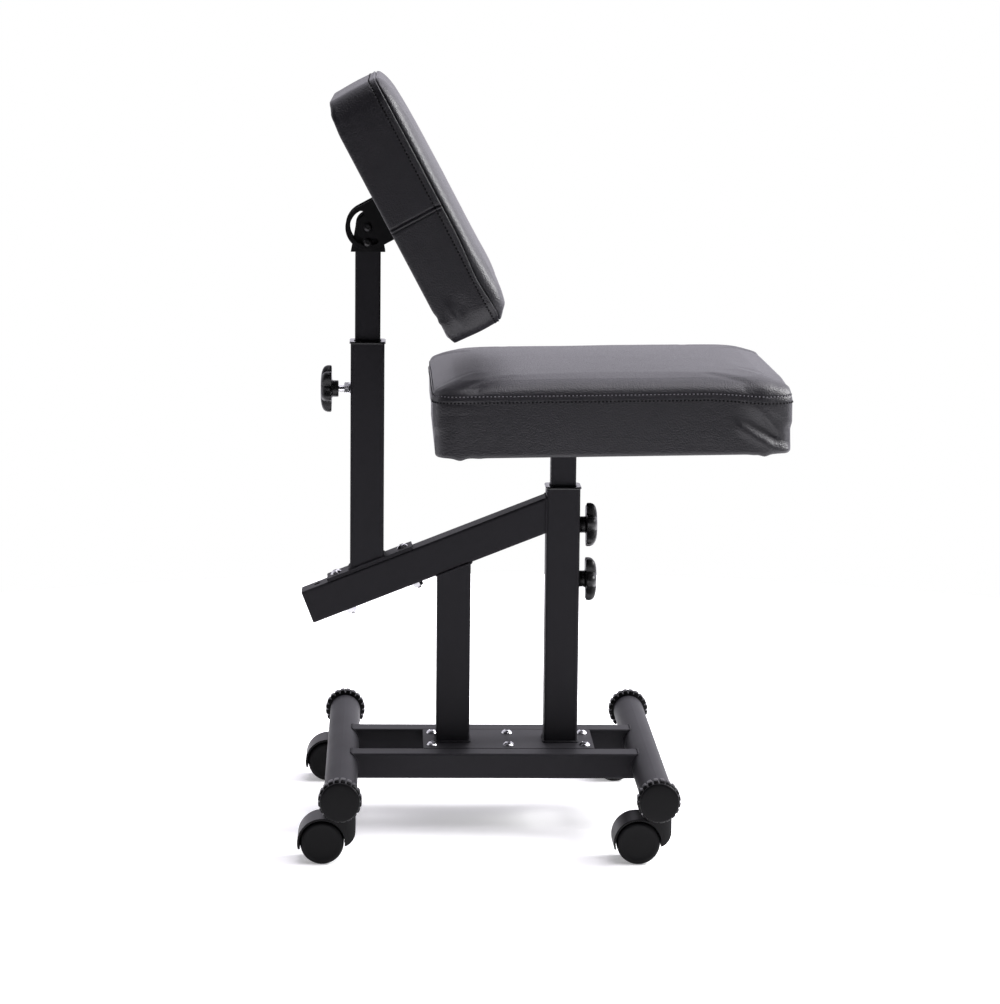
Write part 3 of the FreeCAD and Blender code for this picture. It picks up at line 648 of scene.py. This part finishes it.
def build_cushion(name, shape, seam, row, details, threads, transform, body, node, seed,
                  crease=None):
    """Make one cushion and its stitches: blow up a coarse skin, read it onto a fine one and add
    detail. A thread is (place, material, length, radius, phase)."""
    moves = blown_up(name, shape, seam)
    end = shape.run[-1]
    places = fine_places(end, seam, row)
    points = fine_skin(shape, places, moves)
    if crease is not None:
        points = gather(points, crease)
    columns = 8 * FINE_K
    on_sides = len(places) * columns
    faces = grid_faces(len(places), FINE_K)
    normals = vertex_normals(points, faces)
    p_of = np.full(len(points), end + PAST_PROFILE)
    p_of[:on_sides] = np.repeat(places, columns)
    points = points + details(points, normals, p_of, np.arange(len(points)) < on_sides)
    uneven = unevenness(points, seed)
    uneven *= step(p_of, shape.side_start, shape.side_start + 0.01)
    points = points + normals * uneven[:, None]

    lines = points[:on_sides].reshape(len(places), columns, 3)
    ups = vertex_normals(points, faces)[:on_sides].reshape(lines.shape)
    for number, (place, thread, length, radius, phase) in enumerate(threads):
        r = int(np.argmin(abs(places - place)))
        made = stitch_mesh(f"{name}_stitches_{number}", stitch_spots(lines[r], ups[r], phase),
                           length, radius, MATS[thread])
        finish_piece(made, transform, body, "charcoal_leather")

    bottom = len(points)
    points = np.vstack([points, [[0, 0, points[0, 2]]]])
    faces += [((c + 1) % columns, c, bottom) for c in range(columns)]
    piece = mesh_object(name, points, faces, [MATS["leather"]])
    finish_piece(piece, transform, body, "charcoal_leather", node)


MAIN_POST_X, SHORT_POST_X, CHEST_POST_X = 0.0322, -0.0975, -0.2014
SEAT_PLACE = Matrix.Translation((0.0765, 0, 0.4692)) @ Matrix.Rotation(radians(-1.1), 4, "Y")
PAD_TILT = 28.2         # degrees, top leaning back
PIVOT = Vector((CHEST_POST_X, 0, 0.713))
PIVOT_TO_PAD = 0.0275
PAD_PLACE = Matrix.Translation(PIVOT) @ Matrix.Rotation(radians(90 - PAD_TILT), 4, "Y") \
    @ Matrix.Translation((0, 0, PIVOT_TO_PAD))


def smooth_profile(rows, steps=5):
    """Inset and height in metres along a smooth curve through rows of millimetres."""
    rows = np.array(rows, dtype=float) * MM
    spots = np.linspace(0, len(rows) - 1, (len(rows) - 1) * steps + 1)
    return catmull(rows, np.minimum(spots, len(rows) - 1 - 1e-9), False)


def near_corner(x, y, half_x, half_y, reach):
    """1 at the cushion's upright corners, fading to 0 along its sides."""
    gap = np.hypot(np.maximum(half_x - np.abs(x), 0), np.maximum(half_y - np.abs(y), 0))
    return np.exp(-(gap / reach) ** 2)


def ripples(points, stretch, seed):
    """Noise with its own number of waves per metre along each axis."""
    scale = Vector(stretch)
    return np.array([noise.noise(Vector((q[0] * scale.x + seed, q[1] * scale.y, q[2] * scale.z)))
                     for q in points])


def segment_gap(x, y, start, end):
    """Signed distance to a line through two points, and the place along it from 0 to 1."""
    ax, ay = start
    dx, dy = end[0] - ax, end[1] - ay
    length = hypot(dx, dy)
    along = ((x - ax) * dx + (y - ay) * dy) / length ** 2
    return ((y - ay) * dx - (x - ax) * dy) / length, along


def seat_details(seam, top_row):
    """The seat's own shape: x, y and w are millimetres from the middle of its underside."""
    def details(points, normals, p, on_side):
        x, y, w = (points / MM).T
        side = on_side.astype(float)
        offset = 0.3 * bell(p, (seam + top_row) / 2, 0.0026) - 0.45 * bell(p, top_row, 0.0007)
        corner = near_corner(x, y, 200, 200, 34)
        upper = bell(w, 66, 16)
        offset += corner * upper * 0.9 * ripples(points, (150, 150, 12), 4.0)
        near_left = np.exp(-((x + 190) / 34) ** 2) * (y < -150) * bell(w, 62, 12)
        offset += near_left * ripples(points, (14, 14, 260), 9.0)
        # a soft fold of the near side at its right corner
        near = step(-normals[:, 1], 0.3, 0.6) * step(x, 128, 146)
        gap, _ = segment_gap(x, w, (135, 49), (186, 18.5))
        deep = 6.2 * step(x, 134, 176) * (1 - 0.75 * step(x, 180, 192))
        offset -= near * deep * np.where(gap > 0, bell(gap, 0, 13), bell(gap, 0, 6))
        offset += near * 2.0 * step(x, 132, 150) * bell(gap, -11, 6.0)
        second, along = segment_gap(x, w, (171, 46), (191, 21))
        offset += near * bell(along, 0.55, 0.6) * (1.5 * bell(second, 0, 3.6)
                                                   - 0.9 * bell(second, 7.5, 4.0))
        move = normals * (offset * side)[:, None] * MM
        # the ends stand out over the board, with a step low on each; the top falls towards them
        ends = step(np.abs(normals[:, 0]), 0.3, 0.8)
        full = step(w, 24, 35) * (1 - step(w, 74, 84))
        move[:, 0] += ends * np.where(x > 0, 5.4 + 2.2 * full, -1.6 * full) * MM
        drop = 2.4 * step(-x, 138, 196) + 0.6 * step(x, 165, 200)
        move[:, 2] -= step(w, 70, 84) * drop * MM
        # the seam sinks towards the near right corner
        sunk = 5.5 * step(x, 105, 185) * step(-y, 70, 165)
        move[:, 2] -= sunk * bell(w, 64, 12) * MM
        # lumps in the hem
        hem = (1 - step(w, 1, 9)) * step(-normals[:, 1] + (w < 0.5), 0.2, 0.6)
        for at, size in ((-171, 2.2), (-176, 0.8), (173.6, 2.4), (162, 0.7), (-150, 0.5)):
            move[:, 2] -= hem * size * bell(x, at, 5.5) * (np.abs(y) > 170) * MM
        return move
    return details


SEAT_SIDE, CORNER_RADIUS, SEAT_CROWN = 0.400, 0.026, 0.0060
SEAT_SEAM, SEAT_ROW = 0.0618, 0.0690    # heights on the side
# inset and height of the skin in millimetres, from inside the underside to the padded face
SEAT_PROFILE = ((22, -1.0), (14, -1.3), (6, -1.5), (2.4, -1.3), (0.7, -0.2), (0, 2.0), (0, 10),
                (0, 30), (0, 50), (0, 60), (0.3, 66), (1.3, 71), (3.2, 75.2), (6.4, 78.6),
                (11, 81.4), (17, 83.5), (25, 85.3))


def seat():
    shape = Cushion(SEAT_SIDE, SEAT_SIDE, CORNER_RADIUS, smooth_profile(SEAT_PROFILE), SEAT_CROWN,
                    (0.005, 45))
    seam, row = shape.place(SEAT_SEAM), shape.place(SEAT_ROW)
    threads = ((seam, "thread_dark", 0.0031, 0.00115, 0.0),
               (row, "thread_light", 0.0026, 0.00060, 0.0),
               # third row: painted shade, short nearly black dashes that stand in for the shadow
               # in the needle holes between the light stitches
               (row, "painted_hole_shade", 0.0018, 0.00085, 0.5))
    build_cushion("seat_pad", shape, seam, row, seat_details(seam, row), threads, SEAT_PLACE,
                  "seat", "seat_cushion", 3.1)


PANEL_JOIN = 7.6        # mm down from the chest pad's middle


def chest_details(seam, row):
    """The chest pad's own shape: x runs down it, y across it and w out of its face."""
    def details(points, normals, p, on_side):
        x, y, w = (points / MM).T
        side = on_side.astype(float)
        offset = 0.9 * bell(p, seam - 0.0018, 0.0012) - 1.6 * bell(p, seam, 0.0008)
        offset += 0.4 * bell(p, row + 0.0018, 0.0010) - 0.6 * bell(p, row, 0.0008)
        corner = near_corner(x, y, 151, 190, 30)
        offset += corner * bell(w, 62, 15) * 0.9 * ripples(points, (150, 150, 12), 14.0)
        # the join of two cover panels across each long side
        panel = step(np.abs(normals[:, 1]), 0.6, 0.9) * (1 - step(w, 59.5, 62.5))
        gap = x - PANEL_JOIN
        offset += panel * (0.7 * bell(gap, 0, 1.1) - 2.3 * bell(gap, -2.2, 1.1)
                           - 1.5 * bell(gap, 2.0, 0.8))
        # a soft fold low on the near side
        near = step(-normals[:, 1], 0.5, 0.8)
        fold = step(x, 98, 124) * (1 - step(x, 126, 150))
        offset += near * fold * (2.8 * bell(w, 18.5, 4.6) - 1.2 * bell(w, 31, 8.0))
        move = normals * (offset * side)[:, None] * MM
        # the face rounds down to the top end, and the corner at the lower end is the roundest
        upper = step(w, 52, 74)
        move[:, 2] -= upper * (0.3 + 0.5 * step(-x, 40, 120)
                               + 0.7 * step(-x, 118, 148)
                               - 1.9 * bell(x, 120, 32) + 7.0 * step(x, 139, 152)) * MM
        # the seam dips below the fullest part of the face
        dip = 4.2 * bell(x, 103, 36) * step(np.abs(y), 165, 180)
        move[:, 2] -= dip * bell(w, 64, 6.5) * MM
        # full ends
        ends = step(np.abs(normals[:, 0]), 0.3, 0.8)
        move[:, 0] += ends * np.where(x > 0, 2.0, -1.2) * (1 + bell(w, 38, 26)) * MM
        # the back edge lifts at the top end, and is a lumpy stapled hem towards the lower end
        back = 1 - step(w, 2, 12)
        edge = step(np.abs(y), 150, 175)
        lift = 1.6 * step(-x, 112, 134) + 4.2 * step(-x, 134, 150)
        move[:, 2] += back * lift * MM
        hem = step(x, 106, 120) * edge
        move[:, 2] += back * hem * (1.6 + 1.1 * np.sin(x / 3.1) * np.sin(x / 7.7 + 1.0)) * MM
        move[:, 2] += back * 3.2 * step(x, 143, 151) * MM
        return move
    return details


CHEST_LENGTH, CHEST_WIDTH, CHEST_CROWN = 0.302, 0.380, 0.0019
CHEST_SEAM, CHEST_ROW = 0.0640, 0.0555
CHEST_PROFILE = ((22, -1.4), (14, -1.6), (6, -1.8), (2.2, -1.7), (0.6, -0.6), (0, 1.4), (0, 10),
                 (0, 30), (0, 50), (0, 58), (0.1, 64), (1.4, 68.0), (4.4, 71.2), (9, 73.4),
                 (15, 74.9), (24, 76.1))


def chest():
    shape = Cushion(CHEST_LENGTH, CHEST_WIDTH, CORNER_RADIUS, smooth_profile(CHEST_PROFILE),
                    CHEST_CROWN, (0.004, 40))
    seam, row = shape.place(CHEST_SEAM), shape.place(CHEST_ROW)
    threads = ((row, "thread_dark", 0.0034, 0.00125, 0.0),)
    build_cushion("chest_pad", shape, seam, row, chest_details(seam, row), threads, PAD_PLACE,
                  "chest_rest", "chest_cushion", 7.7, crease=PANEL_JOIN * MM)


# ---- turned and moulded pieces ----

def skin(name, loops, mat, sharp=38.0):
    """A closed form through loops of equal length, filled at both ends."""
    count = len(loops[0])
    last = (len(loops) - 1) * count
    faces = []
    for start in range(0, last, count):
        faces += band(count, start, start + count)
    faces.append(tuple(range(count))[::-1])
    faces.append(tuple(range(last, last + count)))
    piece = mesh_object(name, np.vstack(loops), faces, [mat])
    turn_outward(piece, sharp)
    return piece


def turned(rows, count, lobes=None):
    """Loops about the Z axis through rows of height, radius and any lobe depth, in mm."""
    angle = np.arange(count) * 2 * pi / count
    loops = []
    for height, radius, *depth in rows:
        r = radius + (depth[0] * lobes(angle) if depth else 0)
        loops.append(np.column_stack([r * np.cos(angle), r * np.sin(angle),
                                      np.full(count, height)]) * MM)
    return loops


def finish_piece(piece, place, body, slot, *nodes):
    """Put a piece in its place and say what it belongs to and which nodes it replaces."""
    piece.data.transform(place)
    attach(piece, body)
    if nodes:
        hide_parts(*nodes)
    return piece


BASE_MID_X, TUBE_HALF_GAP = -0.0485, 0.181
TUBE_X = {"left": BASE_MID_X - TUBE_HALF_GAP, "right": BASE_MID_X + TUBE_HALF_GAP}
TUBE_Z = 0.080
BASE_HALF_WIDTH = 0.258
TUBE_R = 19.0           # mm
CAP_DEPTH = 22.0        # mm
CAP_TEETH = 20
CAP_BORE = TUBE_R + 0.04
# height, radius and tooth depth in millimetres: the bore, the toothed ring and the domed face
CAP_ROWS = ((17.1, 1.0), (17.1, CAP_BORE), (0.0, CAP_BORE), (0.1, 20.6, 0.2), (0.7, 21.6, 1.6),
            (1.8, 22.0, 2.7), (3.0, 22.1, 2.9), (13.6, 22.1, 2.9), (15.4, 22.0, 2.7),
            (16.6, 21.7, 1.7), (17.2, 21.2, 0.5), (17.4, 20.6), (17.9, 20.5), (18.2, 21.9),
            (18.6, 22.5), (19.4, 22.7), (20.4, 22.5), (21.0, 22.0), (21.4, 21.2), (21.6, 20.0),
            (21.8, 15.0), (21.95, 8.0), (22.0, 1.0))


def cap_tooth(angle):
    """1 on a tooth and 0 in a gap."""
    place = np.abs((angle * CAP_TEETH / (2 * pi)) % 1.0 - 0.5) * 2
    return 1 - step(place, 0.62, 0.86) - 0.10 * place ** 2


def end_caps():
    """Toothed grip rings with a smooth domed face, one over each end of the cross tubes."""
    replaced = ["end_caps"]
    for side_name, x in TUBE_X.items():
        for side, end_name in ((-1, "near"), (1, "far")):
            piece = skin(f"end_cap_{side_name}_{end_name}",
                         turned(CAP_ROWS, CAP_TEETH * 14, cap_tooth), MATS["cap_plastic"])
            place = Matrix.Translation((x, side * (BASE_HALF_WIDTH - CAP_DEPTH * MM), TUBE_Z)) \
                @ Matrix.Rotation(-side * pi / 2, 4, "X")
            finish_piece(piece, place, "frame", "black_plastic", *replaced)
            replaced = []


def knob_lobe(angle):
    """0 at a lobe's tip, -1 in the valley between two."""
    return -(1 - np.abs(np.cos(3 * angle)) ** 1.3)


# as for the caps, with the depth of the valleys between the lobes
KNOB_ROWS = ((15.1, 1.0), (15.1, 4.06), (0.0, 4.06), (0.0, 8.6), (0.2, 9.5), (0.8, 9.85),
             (6.0, 9.85), (7.0, 10.2), (7.7, 11.4, 0.2), (7.95, 15.0, 2.2), (8.05, 21.0, 5.4),
             (8.1, 25.8, 7.6), (8.35, 27.2, 8.2), (9.2, 27.9, 8.5), (10.6, 28.0, 8.5),
             (13.0, 27.9, 8.5), (15.2, 27.3, 8.3), (17.2, 25.9, 7.7), (18.8, 23.4, 6.6),
             (20.0, 19.8, 4.9), (20.7, 15.8, 2.8), (21.0, 12.0, 1.0), (21.0, 9.6, 0.1),
             (20.8, 8.4), (20.3, 7.4), (20.1, 6.0), (20.1, 1.0))
SEAT_KNOB_X = 0.0522 + 0.1 * MM
# name, x, z, which way it faces along X, turn in degrees
KNOBS = (("seat_knob_upper", SEAT_KNOB_X, 0.3583, 1, 15),
         ("seat_knob_lower", SEAT_KNOB_X, 0.2926, 1, 25),
         ("chest_knob", -0.2357, 0.5203, -1, 15))


def knobs():
    """Star knobs with six rounded lobes, a domed front and a waisted hub."""
    for name, x, z, way, spin in KNOBS:
        piece = skin(name + "_star", turned(KNOB_ROWS, 144, knob_lobe), MATS["knob_plastic"],
                     sharp=50)
        place = Matrix.Translation((x, 0, z)) @ Matrix.Rotation(way * pi / 2, 4, "Y") \
            @ Matrix.Rotation(radians(spin), 4, "Z")
        finish_piece(piece, place, name, "black_plastic", name)


WHEEL_ROWS = ((19.4, 0.8), (19.4, 3.05), (6.0, 3.05), (6.0, 8.0), (6.0, 19.5), (6.2, 21.6),
              (6.9, 23.4), (8.0, 24.5), (9.4, 25.0), (12.0, 25.0), (18.5, 25.0), (20.6, 24.9),
              (22.0, 24.4), (23.1, 23.5), (23.75, 22.4), (24.0, 21.2), (23.95, 20.0),
              (23.7, 18.6), (23.45, 16.5), (23.3, 12.0), (23.3, 5.0), (23.3, 1.0))
WHEEL_R = 0.025
CASTER_TRAIL = 0.0207   # the axle lies this far to the left of the swivel
CASTER_Y = 0.203


def wheels():
    """Twin caster wheels: a rounded tread and a slightly dished face with a soft rim."""
    for end_name, y in (("near", -CASTER_Y), ("far", CASTER_Y)):
        for side_name, x in TUBE_X.items():
            for letter, side in (("a", -1), ("b", 1)):
                node = f"wheel_{end_name}_{side_name}_{letter}"
                piece = skin(node + "_tyre", turned(WHEEL_ROWS, 96), MATS["caster_tread"])
                place = Matrix.Translation((x - CASTER_TRAIL, y, WHEEL_R)) \
                    @ Matrix.Rotation(-side * pi / 2, 4, "X")
                finish_piece(piece, place, node, "caster_tread", node)


def square_loops(rows):
    """Loops of rounded squares through rows of half side, corner radius and height in
    millimetres."""
    loops = []
    for half, corner, height in rows:
        flat = outline(half, half, corner, 5)
        loops.append(np.column_stack([flat, np.full(len(flat), height)]) * MM)
    return loops


COLLAR_ROWS = ((17.9, 1.0, 0.02), (20.6, 3.7, 0.02), (21.2, 4.2, 0.15), (21.35, 4.4, 0.5),
               (21.35, 4.4, 1.9), (21.2, 4.3, 2.4), (20.8, 4.1, 2.7), (20.3, 3.9, 2.8),
               (16.6, 2.9, 2.8), (15.8, 2.6, 2.6), (15.3, 2.5, 2.0), (15.3, 2.5, -25.0),
               (17.9, 1.0, -25.0))
# node, x, height of the tube's end
COLLARS = (("seat_collar", MAIN_POST_X, 0.4034), ("chest_collar", CHEST_POST_X, 0.5754))


def collars():
    """Moulded collars: a thin flange on the tube's end, with a sleeve inside the tube."""
    for node, x, top in COLLARS:
        loops = square_loops(COLLAR_ROWS)
        count = len(loops[0])
        faces = []
        for r in range(len(loops)):
            faces += band(count, r * count, (r + 1) % len(loops) * count)
        piece = mesh_object(node + "_rim", np.vstack(loops), faces, [MATS["collar_plastic"]])
        turn_outward(piece, 40)
        finish_piece(piece, Matrix.Translation((x, 0, top)), "frame", "black_plastic", node)


BEAD_SIDES = 10
BEAD_STEP = 0.0006


def bead(name, path, radius, seed):
    """A weld bead: a low rippled rope of metal round a closed path of points."""
    path = np.array(path, dtype=float)
    path = np.vstack([path, path[:1]])
    run = run_along(np.linalg.norm(np.diff(path, axis=0), axis=1))
    count = max(8, int(run[-1] / BEAD_STEP))
    at = np.linspace(0, run[-1], count + 1)[:count]
    line = np.column_stack([np.interp(at, run, path[:, i]) for i in range(3)])
    ahead = np.roll(line, -1, axis=0) - np.roll(line, 1, axis=0)
    ahead /= np.linalg.norm(ahead, axis=1)[:, None]
    angle = np.arange(BEAD_SIDES) * pi / (BEAD_SIDES / 2)
    loops, faces = [], []
    for number, (middle, along) in enumerate(zip(line, ahead)):
        side = np.cross(along, (0.31, 0.52, 0.79))
        side /= np.linalg.norm(side)
        up = np.cross(side, along)
        wave = 1 + 0.10 * sin(at[number] / 0.0021 * 2 * pi) \
            + 0.22 * noise.noise(Vector((at[number] * 160, seed, 0)))
        round_it = np.outer(np.cos(angle), side) + np.outer(np.sin(angle), up)
        loops.append(middle + radius * wave * round_it)
        faces += band(BEAD_SIDES, number * BEAD_SIDES, (number + 1) % count * BEAD_SIDES)
    piece = mesh_object(name, np.vstack(loops), faces, [MATS["black_powder_coat"]])
    finish_piece(piece, Matrix.Identity(4), "frame", "black_powder_coat")


BEAM_ANGLE = radians(21.65)
BEAM_TOP_Z0 = 0.38875                       # of the beam's top face at x = 0
TUBE_SIDE = 0.040
BEAM_DEEP = TUBE_SIDE / cos(BEAM_ANGLE)
FOOT_THICK = 0.004 / cos(BEAM_ANGLE)   # of the foot plate, measured upright
PLATE_TOP_Z = 0.0960
RAIL_Y, RAIL_HALF, RAIL_Z = 0.0663, 0.0150, 0.081
WELD_LIFT = 0.0004


def post_ring(x, level):
    """A path round a square post at x, at the heights that a function of x gives."""
    half = TUBE_SIDE / 2 + WELD_LIFT
    return [(x + a, b, level(x + a)) for a, b in outline(half, half, 0.0035, 4)]


def beam_top(x):
    return BEAM_TOP_Z0 + tan(BEAM_ANGLE) * x


def welds():
    """The beads that join the posts, the beam and the base."""
    for number, (name, x, level) in enumerate((
            ("main_post", MAIN_POST_X, lambda x: PLATE_TOP_Z + 0.0006),
            ("short_post", SHORT_POST_X, lambda x: PLATE_TOP_Z + 0.0006),
            ("short_post_top", SHORT_POST_X, lambda x: beam_top(x) - BEAM_DEEP - WELD_LIFT),
            ("chest_post", CHEST_POST_X, lambda x: beam_top(x) + FOOT_THICK + WELD_LIFT))):
        bead("weld_" + name, post_ring(x, level), 0.0017, number + 1)
    face = MAIN_POST_X - TUBE_SIDE / 2 - 0.0003
    middle = beam_top(face) - BEAM_DEEP / 2
    ring = [(face, a, middle + b * BEAM_DEEP / TUBE_SIDE)
            for a, b in outline(0.0197, 0.0197, 0.003, 4)]
    bead("weld_beam_post", ring, 0.0015, 5)
    for side_name, x in TUBE_X.items():
        sign = 1 if side_name == "left" else -1
        for rail, y in (("near", -RAIL_Y), ("far", RAIL_Y)):
            ring = []
            for a, b in outline(RAIL_HALF, RAIL_HALF, 0.0025, 4):
                reach = sqrt((TUBE_R * MM) ** 2 - (RAIL_Z - TUBE_Z + b) ** 2)
                ring.append((x + sign * (reach + WELD_LIFT), y + a, RAIL_Z + b))
            bead(f"weld_rail_{rail}_{side_name}", ring, 0.0013, 6 + y * 50 + x * 30)


CLOTH_LEVEL = -0.0016
CLOTH_THICK = 0.0003
# share of the way from the cloth's edge to its opening, and how far it stands off there
CLOTH_ROWS = ((0.0, 0.0), (0.012, -0.0004), (0.03, -0.0005), (0.05, -0.0002), (0.2, 0), (0.4, 0),
              (0.6, 0), (0.8, 0), (0.95, 0), (1.0, 0.0003))
STAPLE_HALF = 0.005
STAPLE_LEVEL = CLOTH_LEVEL - 0.0005
# millimetres: share of the half length and rise along a staple's wire, then round its section
STAPLE_RUN = ((-1.0, 0.9), (-0.96, 0.25), (-0.85, 0.0), (0.85, 0.0), (0.96, 0.25), (1.0, 0.9))
STAPLE_SECTION = ((-0.4, 0.35), (0.4, 0.35), (0.4, -0.2), (-0.4, -0.2))


def under_cloth(name, half_x, half_y, hole_x, hole_y, place, body, seed):
    """The thin cloth stapled under a cushion, open round the plate that the screws hold."""
    outer = outline(half_x, half_y, 0.016, 10)
    inner = outline(hole_x, hole_y, 0.010, 10)
    count = len(outer)
    loops = []
    for t, lift in CLOTH_ROWS:
        flat = outer * (1 - t) + inner * t
        sag = np.array([noise.noise(Vector((x * 26, y * 26, seed))) for x, y in flat]) * 0.0005
        height = CLOTH_LEVEL + lift + sag * sin(pi * min(1, t * 1.2))
        loops.append(np.column_stack([flat, height]))
    loops += [loop + np.array([0, 0, CLOTH_THICK]) for loop in reversed(loops)]
    faces = []
    for r in range(len(loops)):
        q = (r + 1) % len(loops)
        for c in range(count):
            d = (c + 1) % count
            faces.append((r * count + c, q * count + c, q * count + d, r * count + d))
    piece = mesh_object(name, np.vstack(loops), faces, [MATS["under_cloth"]])
    finish_piece(piece, place, body, "charcoal_leather")
    spots = outline(half_x - 0.005, half_y - 0.005, 0.012, 12)
    staples(name + "_staples", spots, place, body, seed)


def staples(name, spots, place, body, seed):
    """Wire staples along a line of spots, each one a little askew."""
    ahead = np.roll(spots, -1, axis=0) - spots
    wire = len(STAPLE_SECTION)
    points, faces = [], []
    for n in range(0, len(spots), 2):
        x, y = ahead[n] / np.linalg.norm(ahead[n])
        turn = 0.25 * noise.noise(Vector((n * 3.7, seed, 0)))
        along = np.array([x * cos(turn) - y * sin(turn),
                          x * sin(turn) + y * cos(turn)])
        across = np.array([-along[1], along[0]])
        base = len(points)
        for t, rise in STAPLE_RUN:
            for a, h in STAPLE_SECTION:
                xy = spots[n] + along * (t * STAPLE_HALF) + across * a * MM
                points.append((xy[0], xy[1], STAPLE_LEVEL + (rise + h) * MM))
        last = len(points) - wire
        for start in range(base, last, wire):
            faces += band(wire, start, start + wire)
        faces.append(tuple(range(base, base + wire))[::-1])
        faces.append(tuple(range(last, last + wire)))
    made = mesh_object(name, points, faces, [MATS["bright_zinc"]], smooth=False)
    finish_piece(made, place, body, "bright_zinc")


# ---- the frame's own nodes ----

# nodes that look different from the rest of their slot
FINISHES = {"tilt_bolts": "dark_bolt", "tilt_nuts": "dark_bolt",
            "saddle": "dark_coat", "tilt_bracket": "dark_coat",
            **{f"hood_{end}_{side}": "hood_plastic" for end in ("near", "far") for side in TUBE_X}}


def dress_nodes():
    """Give every CAD node its finish, by its slot in the record."""
    slots = {s["node"]: s["material_slot"] for s in frame["record"]["subparts"]}
    for node, piece in frame["nodes"].items():
        mat = MATS[FINISHES.get(node, slots[node])]
        piece.data.materials.clear()
        piece.data.materials.append(mat)


# ---- build ----

# dark and light colour, roughness from and to, waves and depth of the grain, radius of the
# softened edges, specular level, metallic
COATS = {
    "black_powder_coat": ((0.0150, 0.0145, 0.0168), (0.0200, 0.0193, 0.0224),
                          0.50, 0.62, 900.0, 0.00006, 0.0008, 0.12),
    "dark_coat": ((0.0040, 0.0040, 0.0045), (0.0062, 0.0062, 0.0068),
                  0.46, 0.56, 900.0, 0.00005, 0.0008, 0.15),
    "black_plastic": ((0.006, 0.006, 0.0065), (0.009, 0.009, 0.0095),
                      0.36, 0.46, 1500.0, 0.00003, 0.0008, 0.3),
    "caster_wheel_plastic": ((0.0040, 0.0040, 0.0044), (0.0060, 0.0060, 0.0065),
                             0.36, 0.48, 1300.0, 0.00004, 0, 0.09),
    "bright_zinc": ((0.62, 0.62, 0.64), (0.78, 0.78, 0.80),
                    0.16, 0.30, 700.0, 0.00002, 0.0004, 0.3, 1.0),
    "cap_plastic": ((0.0028, 0.0028, 0.0032), (0.0042, 0.0042, 0.0046),
                    0.28, 0.38, 1500.0, 0.00003, 0, 0.09),
    "collar_plastic": ((0.0050, 0.0050, 0.0055), (0.0070, 0.0070, 0.0075),
                       0.20, 0.30, 1500.0, 0.00002, 0, 0.5),
    "knob_plastic": ((0.0045, 0.0044, 0.0050), (0.0065, 0.0064, 0.0070),
                     0.33, 0.42, 1500.0, 0.00002, 0, 0.3),
    "hood_plastic": ((0.0036, 0.0036, 0.0040), (0.0054, 0.0054, 0.0058),
                     0.38, 0.48, 1500.0, 0.00003, 0.0022, 0.11),
    "dark_bolt": ((0.0045, 0.0045, 0.0050), (0.0070, 0.0070, 0.0075),
                  0.25, 0.36, 1200.0, 0.00002, 0.0004, 0.5),
}
MATS = {name: coated(name, *row) for name, row in COATS.items()}
MATS["caster_tread"] = MATS["caster_wheel_plastic"]
MATS["under_cloth"] = fabric_material("under_cloth", (0.012, 0.012, 0.013), (0.03, 0.03, 0.032))
MATS["plywood"] = MATS["under_cloth"]   # the boards are seen only behind the cloth
MATS["leather"] = leather_material()
MATS["charcoal_leather"] = MATS["leather"]
MATS["thread_dark"] = thread_material("thread_dark", (0.0018, 0.0018, 0.0024))
MATS["thread_light"] = thread_material("thread_light", (0.15, 0.145, 0.16))
# painted shade: nearly black dashes that stand in for the shadow in the needle holes
MATS["painted_hole_shade"] = thread_material("painted_hole_shade", (0.003, 0.003, 0.0035))

make_camera()
make_light()
dress_nodes()
end_caps()
knobs()
wheels()
collars()
welds()
seat()
chest()
under_cloth("seat_under_cloth", 0.184, 0.184, 0.1012, 0.0812, SEAT_PLACE,
            "seat", 2.0)
under_cloth("chest_under_cloth", 0.114, 0.166, 0.0490, 0.0590, PAD_PLACE,
            "chest_rest", 5.0)
